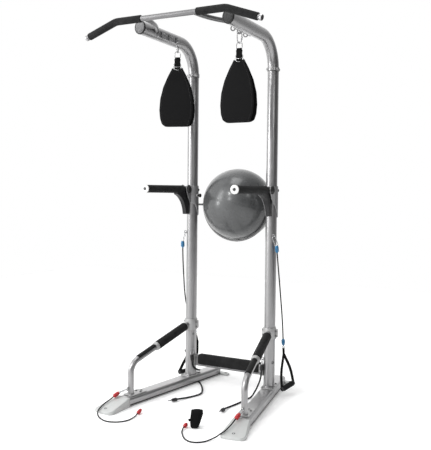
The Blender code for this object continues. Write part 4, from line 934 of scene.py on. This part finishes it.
def bar_line():
    outline = rounded([(-0.527, 2.059), (-0.329, BAR_Z), (0.329, BAR_Z), (0.527, 2.059)], (0, 0.09, 0.09, 0),
                      12)
    return [Vector((x, BAR_Y, z)) for x, z in outline]


def pull_up_bar():
    line = bar_line()
    solids = [tube(line, BAR_R, 36, Y_AXIS)]
    end = math.acos(1 - (UPRIGHT_X - TUBE_RX + 0.004 - BRACE_START) / BRACE_ARC)
    for side in (-1, 1):
        angles = [end * i / 20 for i in range(21)]
        path = [(side * (BRACE_START + BRACE_ARC * (1 - math.cos(a))), BAR_Y + BRACE_ARC * math.sin(a), BAR_Z)
                for a in angles]
        path[0] = (side * BRACE_START, BAR_Y + BAR_R - 0.0015, BAR_Z)
        solids.append(tube(path, 0.013, 30))
    # The bar and its braces take the darker copy of the silver paint: painted shade.
    piece("pull_up_bar_tube", solids, "bar", node="pull_up_bar")
    plug = [(0, 0.0112), (0.0016, 0.012), (0.0026, 0.0105), (0.0014, 0.0095), (0.0014, 0.0)]
    bead = [(0, 0.0146), (0.0008, 0.0154), (0.011, 0.0154), (0.0121, 0.0146)]
    plugs, beads = [], []
    for tip, inside in ((line[0], line[1]), (line[-1], line[-2])):
        out = (tip - inside).normalized()
        plugs.append(turned(tip - out * 0.001, out, plug, 28))
        beads.append(turned(tip - out * 0.012, out, bead, 32))
    piece("bar_plugs", plugs, "cap_black")
    piece("bar_tips", beads, "chrome")


def bar_grip(side, tag):
    line = bar_line()[::side]
    start = Vector((side * 0.166, BAR_Y, BAR_Z))
    points = [point for point in line if side * point.x > 0.18]
    points[-1] = points[-1] - (points[-1] - points[-2]).normalized() * 0.022
    extra = [start.lerp(points[0], part) for part in (0.0, 0.3, 0.6)]
    tail = points[-2].lerp(points[-1], 0.5)
    skin = soft_tube(extra + points[:-1] + [tail, points[-1]], 0.0195, 0.0035, 44)
    piece(f"bar_grip_{tag}_foam", skin, "foam", node=f"bar_grip_{tag}", smooth=60)


# ---------------------------------------------------------------- push-up handles

def handle_height(run):
    return HANDLE_KNEE_Z + HANDLE_SLOPE * (HANDLE_FOOT - run)


def handle(side, tag):
    frame_of = runner_frame(side)
    outline = rounded([(-HANDLE_FOOT, TOP_Z + 0.002), (-HANDLE_FOOT, HANDLE_KNEE_Z),
                       (-0.03, handle_height(0.03))], (0, 0.075, 0), 18)
    tube_skin = tube([(0, y, z) for y, z in outline], HANDLE_R, 40, X_AXIS)
    piece(f"push_up_handle_{tag}_tube", tube_skin, "paint", node=f"push_up_handle_{tag}", place=frame_of)
    saddle = slab(rectangle(0.033, 0.0675, 0.008), TOP_Z, TOP_Z + 0.005,
                  Matrix.Translation((0, -HANDLE_FOOT + 0.0375, 0)))
    piece(f"handle_saddle_{tag}", saddle, "plate", place=frame_of, bevel=0.0012)
    heads = [bolt((x, -HANDLE_FOOT + 0.062, TOP_Z + 0.005), Z_AXIS, 0.006, 0.006) for x in (-0.018, 0.018)]
    heads.append(bolt((0.0, -HANDLE_FOOT + 0.088, TOP_Z + 0.005), Z_AXIS, 0.005, 0.004))
    piece(f"handle_bolts_{tag}", heads, "zinc", place=frame_of)
    bead = [(x, -HANDLE_FOOT + y, TOP_Z + 0.006) for x, y in ellipse(HANDLE_R + 0.0004, sides=48)]
    piece(f"handle_weld_{tag}", weld(bead, 0.0028), "paint", place=frame_of)
    eye = merge(hoop(HANDLE_EYE, EYE_MAJOR, EYE_WIRE, X_AXIS),
                turned(HANDLE_EYE + Vector((0, EYE_MAJOR + 0.001, 0)), FORWARD,
                       [(0, 0.0056), (0.003, 0.0056), (0.004, 0.004)], 6))
    piece(f"handle_eye_{tag}", eye, "chrome", place=frame_of)
    piece(f"handle_clamp_{tag}", band(side, 0.345, 0.415, 0.0008, 0.0055, 0.0018), "plate")
    jaws, bolts = [], []
    for way in (-1, 1):
        centre = Vector((side * UPRIGHT_X + way * (TUBE_RX + 0.0095), 0.004, 0.38))
        jaws.append(slab(rectangle(0.006, 0.01, 0.003), -0.024, 0.024, Matrix.Translation(centre)))
        for z in (0.366, 0.394):
            bolts.append(bolt((centre.x, centre.y - 0.01, z), FORWARD, 0.0042, 0.0038))
    piece(f"clamp_jaws_{tag}", jaws, "plate", bevel=0.0012)
    piece(f"clamp_bolts_{tag}", bolts, "zinc")
    slope = Vector((0, 1, HANDLE_SLOPE)).normalized()
    ring_start = Vector((0, -0.3435, handle_height(0.3435)))
    collar = [(0.0, 0.018), (0.0, 0.0222), (0.0015, 0.0236), (0.015, 0.0262), (0.0185, 0.0262), (0.02, 0.025),
              (0.02, 0.018)]
    piece(f"grip_collar_{tag}", turned(ring_start, slope, collar, 44), "plate", place=frame_of)
    upper = [Vector((0, -run, handle_height(run))) for run in (0.322, 0.26, 0.19, 0.12, 0.062)]
    foam_skin = soft_tube(upper, 0.0262, 0.0075, 44)
    made = piece(f"grip_upper_{tag}_foam", foam_skin, "foam", node=f"handle_grip_upper_{tag}", place=frame_of,
                 smooth=60)
    lower_grip(frame_of, tag)


def lower_grip(frame_of, tag):
    """A foam cover over the upper half of the tube."""
    angles = [math.radians(-24 + 84 * k / 14) for k in range(-14, 15)]
    outer = [(0.0212 * math.sin(a), 0.0212 * math.cos(a)) for a in angles]
    inner = [(0.0176 * math.sin(a), 0.0176 * math.cos(a)) for a in reversed(angles)]
    runs = [0.49 - 0.145 * i / 24 for i in range(25)]
    rows = [(0, -run, handle_height(run)) for run in runs]
    pinch = [1 - 0.13 * max(0.0, 1 - min(0.49 - run, run - 0.345) / 0.01) ** 2 for run in runs]
    sizes = list(zip(pinch, pinch))
    shell = sweep(rows, outer + inner, sizes=sizes)
    made = piece(f"grip_lower_{tag}_foam", shell, "foam", node=f"handle_grip_lower_{tag}", place=frame_of,
                 smooth=50)


# ---------------------------------------------------------------- dip arms

GUSSET_CURVE = arc((-0.224, 1.07), 0.142, 76, 6, 24)


def dip_arm(side, tag):
    body, x = f"arm_{tag}", side * ARM_X
    pivot = Vector((x, PIVOT_Y, PIVOT_Z))
    barrel_skin = turned(pivot - Vector((0.0165, 0, 0)), X_AXIS,
                         [(0, 0.0188), (0.0012, 0.02), (0.0318, 0.02), (0.033, 0.0188)], 36)
    rod_skin = tube([pivot, (x, ARM_TIP_Y, PIVOT_Z)], 0.016, 32)
    piece(f"dip_arm_{tag}_tube", merge(barrel_skin, rod_skin), "black", body, f"dip_arm_{tag}")
    outline = [(-0.2, PIVOT_Z - 0.008)] + GUSSET_CURVE + [(-0.08, 1.083), (-0.0455, 1.083),
                                                          (-0.0475, PIVOT_Z - 0.01)]
    piece(f"gusset_{tag}", side_slab(outline, x - 0.0125, x + 0.0125), "black", body, bevel=0.0014)
    # A thin light line along the gusset's curved front edge, on its -X side only: a painted highlight on the
    # black gusset.
    lip = tube([(x - 0.0122, y, z) for y, z in GUSSET_CURVE], 0.0011, 10, X_AXIS)
    piece(f"gusset_painted_highlight_{tag}", lip, "sleeve", body)
    dimple = rounded([(-0.118, 1.206), (-0.088, 1.15), (-0.068, 1.104), (-0.058, 1.104), (-0.058, 1.206)],
                     (0.006,) * 5, 4)
    piece(f"gusset_rib_{tag}", side_slab(dimple, x - 0.0137, x + 0.0137), "black", body, bevel=0.0008)
    head = [bolt((x + way * 0.0135, -0.06, 1.19), (way, 0, 0), 0.0048, 0.0042) for way in (-1, 1)]
    piece(f"gusset_bolts_{tag}", head, "white", body)
    length = PIVOT_Y - 0.0335 - ARM_TIP_Y
    profile = [(0, 0.0168), (0.0025, 0.0195), (0.007, 0.0222), (0.014, 0.0238), (0.024, 0.0242),
               (length * 0.5, 0.023), (length - 0.006, 0.0221), (length - 0.001, 0.0214), (length, 0.0195)]
    grip = turned((x, PIVOT_Y - 0.0335, PIVOT_Z), FORWARD, profile, 44)
    piece(f"arm_grip_{tag}_foam", grip, "foam", body, f"arm_grip_{tag}", smooth=60)
    cap = [(0.0002, 0.0175), (0.0004, 0.0243), (0.0016, 0.025), (0.004, 0.025), (0.0058, 0.0241),
           (0.0068, 0.0222), (0.007, 0.019), (0.0064, 0.0172), (0.0064, 0.0098), (0.0056, 0.0088),
           (0.003, 0.0084), (0.003, 0.0)]
    piece(f"arm_cap_{tag}_ring", turned((x, ARM_TIP_Y, PIVOT_Z), FORWARD, cap, 48), "white", body,
          f"arm_cap_{tag}")
    hole = [(0.0031, 0.0083), (0.005, 0.0083), (0.0054, 0.006), (0.005, 0.0)]
    piece(f"arm_cap_hole_{tag}", turned((x, ARM_TIP_Y, PIVOT_Z), FORWARD, hole, 28), "plastic", body)


def sleeve_bottom(y):
    """Height of the sleeve's lower edge: an arch in front, a long tail behind."""
    if y <= -0.026:
        return SLEEVE_FRONT_LOW
    part = min(1.0, (y + 0.026) / 0.04)
    return SLEEVE_FRONT_LOW - 0.075 * (part * part * (3 - 2 * part) * 0.5 + part * 0.5)


def sleeve(side, tag):
    body, centre = f"carriage_{tag}", side * UPRIGHT_X
    inner, outer = 0.0008, 0.0058
    gap = math.asin(0.0142 / TUBE_RX)
    columns, rows, verts = 72, 16, []
    for grow in (outer, inner):
        for j in range(columns + 1):
            a = math.pi / 2 + gap + (2 * math.pi - 2 * gap) * j / columns
            x, y = (TUBE_RX + grow) * math.cos(a), (TUBE_RY + grow) * math.sin(a)
            low = sleeve_bottom(y)
            for i in range(rows + 1):
                z = low + (SLEEVE_TOP - low) * i / rows
                trim = 0.001 * max(0.0, 1 - min(z - low, SLEEVE_TOP - z) / 0.001) if grow == outer else 0.0
                shrink = 1 - trim / TUBE_RX
                verts.append((centre + x * shrink, y * shrink, z))
    shell = verts, two_skins(columns + 1, rows)
    piece(f"arm_sleeve_{tag}_shell", shell, "sleeve", body, f"arm_sleeve_{tag}", smooth=40)
    ear = arc((PIVOT_Y, PIVOT_Z), 0.029, 90, 205, 24) + [(-0.066, 1.176), (-0.046, 1.152), (-0.01, 1.152),
                                                         (-0.01, 1.256), (-0.036, 1.256)]
    x = side * ARM_X
    ears = merge(side_slab(ear, x + EAR_IN, x + EAR_OUT), side_slab(ear, x - EAR_OUT, x - EAR_IN))
    piece(f"sleeve_ears_{tag}", ears, "sleeve", body, bevel=0.001)
    wall = side * (UPRIGHT_X - TUBE_RX - 0.005)
    boss = turned((wall, PIN_Y, PIN_Z), (-side, 0, 0), [(0, 0.0092), (0.007, 0.0092), (0.0082, 0.008),
                                                        (0.0082, 0.0046)], 30)
    piece(f"pin_boss_{tag}", boss, "sleeve", body)
    button = [(0, 0.0075), (0.003, 0.0075), (0.004, 0.006), (0.004, 0.0)]
    pads = [turned((centre + way * (TUBE_RX + 0.004), 0.012, 1.236), (way, 0, 0), button, 24)
            for way in (-1, 1)]
    piece(f"sleeve_buttons_{tag}", pads, "plastic", body)
    profile = [(0.0, 0.93), (0.001, 1.0), (0.0048, 1.0), (0.0085, 0.9), (0.0108, 0.74), (0.0118, 0.58),
               (0.01, 0.5), (0.0098, 0.28), (0.0116, 0.24), (0.0118, 0.0)]
    knobs = [turned((x + way * 0.0237, PIVOT_Y, PIVOT_Z), (way, 0, 0), profile, 40, (0.019, 0.025))
             for way in (-1, 1)]
    piece(f"fold_bolt_{tag}_knobs", knobs, "cap_black", body, f"fold_bolt_{tag}")


def pin(side, tag):
    body = f"pin_{tag}"
    start = side * (UPRIGHT_X - TUBE_RX - 0.0016)
    profile = [(0, 0.004), (0.015, 0.004), (0.0152, 0.0064), (0.019, 0.0064), (0.02, 0.008), (0.0215, 0.0105),
               (0.0225, 0.0108), (0.031, 0.0108), (0.0325, 0.01), (0.0331, 0.008), (0.0331, 0.0)]
    knob = turned((start, PIN_Y, PIN_Z), (-side, 0, 0), profile, 32)
    ridges = []
    for k in range(12):
        a = 2 * math.pi * k / 12
        at = Vector((start - side * 0.0232, PIN_Y + 0.0108 * math.cos(a), PIN_Z + 0.0108 * math.sin(a)))
        ridges.append(tube([at, at - Vector((side * 0.007, 0, 0))], 0.001, 8))
    piece(f"pull_pin_{tag}_knob", merge(knob, *ridges), "cap_black", body, f"pull_pin_{tag}")


# ---------------------------------------------------------------- ball and cradle

def ball():
    """The ball with a moulded seam a little off level, and its valve plug at the back."""
    rows, columns = 90, 128
    tilt = Matrix.Rotation(math.radians(9), 4, "Y") @ Matrix.Rotation(math.radians(-6), 4, "X")
    verts = []
    for i in range(1, rows):
        lat = math.pi * i / rows - math.pi / 2
        seam = sum(0.0007 * math.exp(-((lat - at) / 0.008) ** 2) for at in (-0.035, 0.035))
        r = BALL_R + seam - 0.0005 * math.exp(-(lat / 0.02) ** 2)
        for j in range(columns):
            a = 2 * math.pi * j / columns
            flat = r * math.cos(lat)
            verts.append(tilt @ Vector((flat * math.cos(a), flat * math.sin(a), r * math.sin(lat))))
    low, high = len(verts), len(verts) + 1
    verts += [tilt @ Vector((0, 0, z)) for z in (-BALL_R, BALL_R)]
    faces = walls(rows - 1, columns)[:-2]
    for j in range(columns):
        k = (j + 1) % columns
        faces.append((low, k, j))
        faces.append((high, (rows - 2) * columns + j, (rows - 2) * columns + k))
    skin = [vert + Vector((0, BALL_Y, BALL_Z)) for vert in verts], faces
    piece("ball_skin", skin, "ball", "ball", "exercise_ball", smooth=80)
    plug = [(-0.001, 0.005), (0.0002, 0.0085), (0.001, 0.0085), (0.0014, 0.007), (0.0014, 0.0)]
    piece("ball_valve", turned((0, BALL_Y + BALL_R - 0.0004, BALL_Z + 0.01), (0, 1, 0.045), plug, 28),
          "plastic", "ball")


def cradle():
    reach = BALL_R + CRADLE_ROD + 0.0014
    hoop_r, bow_z = math.sqrt(reach ** 2 - HOOP_AHEAD ** 2), 1.142
    bow_r = math.sqrt(reach ** 2 - (bow_z - BALL_Z) ** 2)
    rise = math.degrees(math.asin((bow_z - BALL_Z) / hoop_r))
    hoop_line = [(x, BALL_Y - HOOP_AHEAD, z) for x, z in arc((0, BALL_Z), hoop_r, 180 - rise, 360 + rise, 56)]
    drop = math.degrees(math.asin(HOOP_AHEAD / reach))
    rise = math.degrees(math.asin((bow_z - BALL_Z) / reach))
    rib = [(0, y, z) for y, z in arc((BALL_Y, BALL_Z), reach, 270 - drop, 360 + rise, 28)]
    back = TUBE_RY + 0.0003
    lead = [(UPRIGHT_X, back, bow_z), (UPRIGHT_X, back + 0.009, bow_z),
            (UPRIGHT_X - 0.004, back + 0.017, bow_z), (UPRIGHT_X - 0.014, back + 0.026, bow_z)]
    turn = math.degrees(math.asin(HOOP_AHEAD / bow_r))
    sweep_line = [(x, y, bow_z) for x, y in arc((0, BALL_Y), bow_r, -turn, 180 + turn, 60)]
    bow = lead + sweep_line + [(-x, y, z) for x, y, z in reversed(lead)]
    rods = merge(tube(bow, CRADLE_ROD, 20), tube(hoop_line, CRADLE_ROD, 20, Y_AXIS),
                 tube(rib, CRADLE_ROD, 20, X_AXIS))
    # The rods' dark steel is painted shade.
    piece("ball_cradle_rods", rods, "cradle", node="ball_cradle")


# ---------------------------------------------------------------- slings

def puffed(solid, pinned, pressure, frames, cap):
    """Cloth swollen a little between its seams; pinned holds one weight per vertex."""
    mesh = bpy.data.meshes.new("cloth")
    mesh.from_pydata([tuple(vert) for vert in solid[0]], [], solid[1])
    made = add("cloth", mesh)
    group = made.vertex_groups.new(name="pin")
    for index, weight in enumerate(pinned):
        group.add([index], weight, "REPLACE")
    cloth = made.modifiers.new("cloth", "CLOTH")
    settings = cloth.settings
    settings.quality = 6
    settings.mass = 0.25
    settings.tension_stiffness = settings.compression_stiffness = 25
    settings.shear_stiffness = 12
    settings.bending_stiffness = 0.6
    settings.use_pressure = True
    settings.uniform_pressure_force = pressure
    settings.effector_weights.gravity = 0.0
    settings.vertex_group_mass = "pin"
    cloth.point_cache.frame_start, cloth.point_cache.frame_end = 1, frames
    scene = bpy.context.scene
    for step in range(1, frames + 1):
        scene.frame_set(step)
    shaped = made.evaluated_get(bpy.context.evaluated_depsgraph_get()).data
    verts = []
    for before, after in zip(solid[0], shaped.vertices):
        move = after.co - Vector(before)
        verts.append(Vector(before) + move * min(1.0, cap / max(move.length, 1e-9)))
    bpy.data.objects.remove(made)
    scene.frame_set(1)
    return verts, solid[1]


def pad_band(line, widths, thickness, columns):
    """A padded band: two quilted faces along a line of (point, outward normal), closed at its edges."""
    verts, pins, rows = [], [], len(line)
    for way in (1, -1):
        for i, (point, out) in enumerate(line):
            for j in range(columns + 1):
                u = 2 * j / columns - 1
                edge = thickness * (0.22 + 0.28 * math.sqrt(max(0.0, 1 - abs(u) ** 6)))
                verts.append(point + Vector((u * widths[i], 0, 0)) + out * (way * edge))
                pins.append(1.0 if 1 - abs(u) < 0.09 or i < 2 or i > rows - 3 else 0.0)
    return (verts, two_skins(rows, columns)), pins


WIDTHS = ((2.000, 0.022), (1.948, 0.03), (1.905, 0.053), (1.84, 0.08), (1.77, 0.096), (1.705, 0.1),
          (1.655, 0.095), (1.622, 0.083), (1.607, 0.066), (1.5, 0.06))


def width_at(z):
    for (high, wide), (low, narrow) in zip(WIDTHS, WIDTHS[1:]):
        if low <= z <= high:
            return narrow + (wide - narrow) * (z - low) / (high - low)
    return WIDTHS[-1][1]


def with_normals(points):
    """Points of a (y, z) line with the normals to the left of its way."""
    points = [Vector((0, y, z)) for y, z in points]
    return [(point, Vector((0, -way.z, way.y))) for point, way in zip(points, tangents_of(points, False))]


def sling_line():
    """The band seen from the side: down the front, round the foot and up the back."""
    low, radius = 1.611, 0.026
    foot = arc((0, low + radius), radius, 200, 340, 14)
    front = smooth_route([(0, -0.0045, 1.952), (0, -0.0085, 1.905), (0, -0.0155, 1.83), (0, -0.0215, 1.75),
                          (0, foot[0][0], foot[0][1])], 0.0085)
    return [(p.y, p.z) for p in front[:-1]] + foot + [(-p.y, p.z) for p in reversed(front[:-1])]


def sling(side, tag):
    body = f"sling_{tag}"
    place = ORIGIN @ Matrix.Translation((side * HOOK_X, HOOK_YS[SLING_HOOK[side]], 0))
    hung = place @ Matrix.Rotation(math.radians(SLING_TURN[side]), 4, "Z")
    line = with_normals(sling_line())
    solid, pins = pad_band(line, [width_at(point.z) for point, _ in line], 0.0085, 26)
    pad = piece(f"sling_{tag}_pad", puffed(solid, pins, 3.0, 14, 0.0022), "canvas", body, f"sling_{tag}",
                hung, smooth=60, subdivide=1)
    piping, stitches = [], []
    for way in (-1, 1):
        edge = [point + Vector((way * width_at(point.z), 0, 0)) for point, _ in line]
        piping.append(tube(edge, 0.0024, 10, X_AXIS))
        seam = [point + Vector((way * (width_at(point.z) - 0.0085), 0, 0)) - out * 0.004
                for point, out in line]
        stitches += stitch_row(seam)
    piece(f"sling_piping_{tag}", piping, "webbing", body, place=hung)
    piece(f"sling_stitches_{tag}", stitches, "thread", body, place=hung)
    strap = smooth_route([(0, 0.001, 1.925), (0, 0.0, 1.95), (0, 0, 1.975), (0, 0.0, 2.006)], 0.006)
    sizes = [(1.0 + 0.05 * math.sin(i), 1.0) for i in range(len(strap))]
    neck = sweep(strap, rectangle(0.018, 0.0044, 0.0016, 3), Y_AXIS, sizes=sizes)
    roll = turned((-0.015, 0, 2.0116), X_AXIS, [(0, 0.0048), (0.001, 0.0056), (0.029, 0.0056),
                                                (0.03, 0.0048)], 24)
    piece(f"sling_strap_{tag}", merge(neck, roll), "webbing", body, place=hung)
    box_seam = rectangle(0.0125, 0.01, 0.001, 2)
    stitches = stitch_row([Vector((x, -0.0053, 1.9535 + z)) for x, z in split_outline(box_seam)])
    piece(f"strap_stitches_{tag}", stitches, "thread", body, place=hung)
    loops = []
    for z, wide in ((1.972, 0.0215), (1.955, 0.025)):
        turn = Matrix.Translation((0, 0, z)) @ Matrix.Rotation(math.radians(52), 4, "X")
        turn = turn @ Matrix.Rotation(0.2, 4, "Y")
        loops.append(tube([turn @ Vector((x, y, 0.0)) for x, y in ellipse(wide, 0.019)], 0.0012, 10,
                          closed=True))
    piece(f"sling_wire_{tag}", loops, "chrome", body, place=hung)
    d_ring(tag, body, hung)
    snap_link(side, tag, place)


def stitch_row(points):
    """Short raised stitches along a line."""
    pitch, size = 0.0046, 0.00042
    lengths = [0.0]
    for a, b in zip(points, points[1:]):
        lengths.append(lengths[-1] + (b - a).length)
    made, at = [], pitch * 0.5
    while at + pitch * 0.6 < lengths[-1]:
        a, b = point_at(points, lengths, at), point_at(points, lengths, at + pitch * 0.6)
        made.append(tube([a, b], size, 5, (0.2, 1, 0.1)))
        at += pitch
    return made


def d_ring(tag, body, hung):
    top = LINK_TOP - LINK_TALL + 0.0073
    low = top - 0.036
    shape = arc((0, top - 0.017), 0.017, 0, 180, 20) + rounded([(-0.017, low + 0.01), (-0.017, low),
                                                                (0.017, low), (0.017, low + 0.01)],
                                                               (0, 0.004, 0.004, 0), 5)
    loop = sweep([(x, 0, z) for x, z in shape], ellipse(0.0025, sides=16), Y_AXIS, True)
    piece(f"sling_ring_{tag}_loop", loop, "chrome", body, f"sling_ring_{tag}", hung)


def snap_link(side, tag, place):
    """A pear-shaped snap link with a sprung gate and a sleeve nut."""
    turn = place @ Matrix.Rotation(math.radians(CARABINER_TURN[side]), 4, "Z")
    low = LINK_TOP - LINK_TALL
    outline = arc((0, LINK_TOP - 0.015), 0.015, 0, 180, 22) + arc((0, low + 0.0115), 0.0115, 188, 352, 18)
    loop = sweep([(x, 0, z) for x, z in outline], ellipse(0.003, sides=18), Y_AXIS, True)
    nut = turned((0.0135, 0, low + 0.02), (0.06, 0, 1), [(0, 0.0036), (0.0008, 0.0044), (0.015, 0.0044),
                                                         (0.0158, 0.0036)], 20)
    piece(f"carabiner_{tag}_loop", merge(loop, nut), "chrome", f"link_{tag}", f"carabiner_{tag}", turn)


# ---------------------------------------------------------------- ankle cuff

def cuff():
    place = ORIGIN @ Matrix.Translation((0.16, -0.699, 0.0)) @ Matrix.Rotation(math.radians(30), 4, "Z")
    tall, deep, skin = 0.094, 0.046, 0.009
    y, low, high = deep / 2 - skin / 2, 0.001 + skin / 2, tall - skin / 2
    outline = rounded([(-y, low), (y, low), (y, high), (-y, high)], (0.014,) * 4, 8)
    closed = [Vector((0, a, b)) for a, b in split_outline(outline)]
    ways = tangents_of(closed, True)
    verts, pins, columns = [], [], 18
    for way in (1, -1):
        for point, along in zip(closed, ways):
            out = Vector((0, along.z, -along.y))
            left, right = cuff_edges(point.z)
            for j in range(columns + 1):
                u = 2 * j / columns - 1
                thick = skin * (0.2 + 0.3 * math.sqrt(max(0.0, 1 - abs(u) ** 6)))
                verts.append(point + Vector((left + (right - left) * j / columns, 0, 0)) + out * way * thick)
                pins.append(1.0 if abs(u) > 0.86 else 0.0)
    faces = [(face[0], *face[:0:-1]) for face in two_skins(len(closed), columns, True)]
    pad = piece("ankle_cuff_pad", puffed((verts, faces), pins, 3.0, 12, 0.0018), "canvas", node="ankle_cuff",
                place=place, smooth=60, subdivide=1)
    strap = [point + Vector((sum(cuff_edges(point.z)) / 2, 0, 0)) for point in closed]
    outs = [Vector((0, along.z, -along.y)) for along in ways]
    strap = [point + out * (skin / 2 + 0.0008) for point, out in zip(strap, outs)]
    loop = sweep_flat(strap, outs, rectangle(0.0012, 0.0145, 0.0006, 2))
    piece("ankle_cuff_strap", loop, "webbing", place=place)
    tab = sweep(smooth_route([(-0.022, -0.0252, 0.05), (-0.034, -0.0262, 0.049), (-0.04, -0.0275, 0.0465)],
                             0.004), rectangle(0.0065, 0.0016, 0.0007, 2), FORWARD)
    piece("ankle_cuff_tab", tab, "webbing", place=place)


def sweep_flat(points, outs, section):
    """A closed strap whose face looks along outs; section is (out, across)."""
    verts = [point + out * u + Vector((v, 0, 0)) for point, out in zip(points, outs) for u, v in section]
    return verts, walls(len(points), len(section), True)


def cuff_edges(z):
    """Left and right edges of the cuff at a height."""
    left = -0.027 - 0.006 * min(1.0, z / 0.03) + 0.007 * max(0.0, (z - 0.03) / 0.064)
    right = 0.01 + 0.026 * min(1.0, z / 0.08) - 0.004 * max(0.0, (z - 0.08) / 0.014)
    return left, right


for side, tag in SIDES:
    for make in (runner, front_foot, upright, boom, bar_grip, handle, dip_arm, sleeve, pin, sling):
        make(side, tag)
for make in (foot_bar, pull_up_bar, ball, cradle, cuff):
    make()
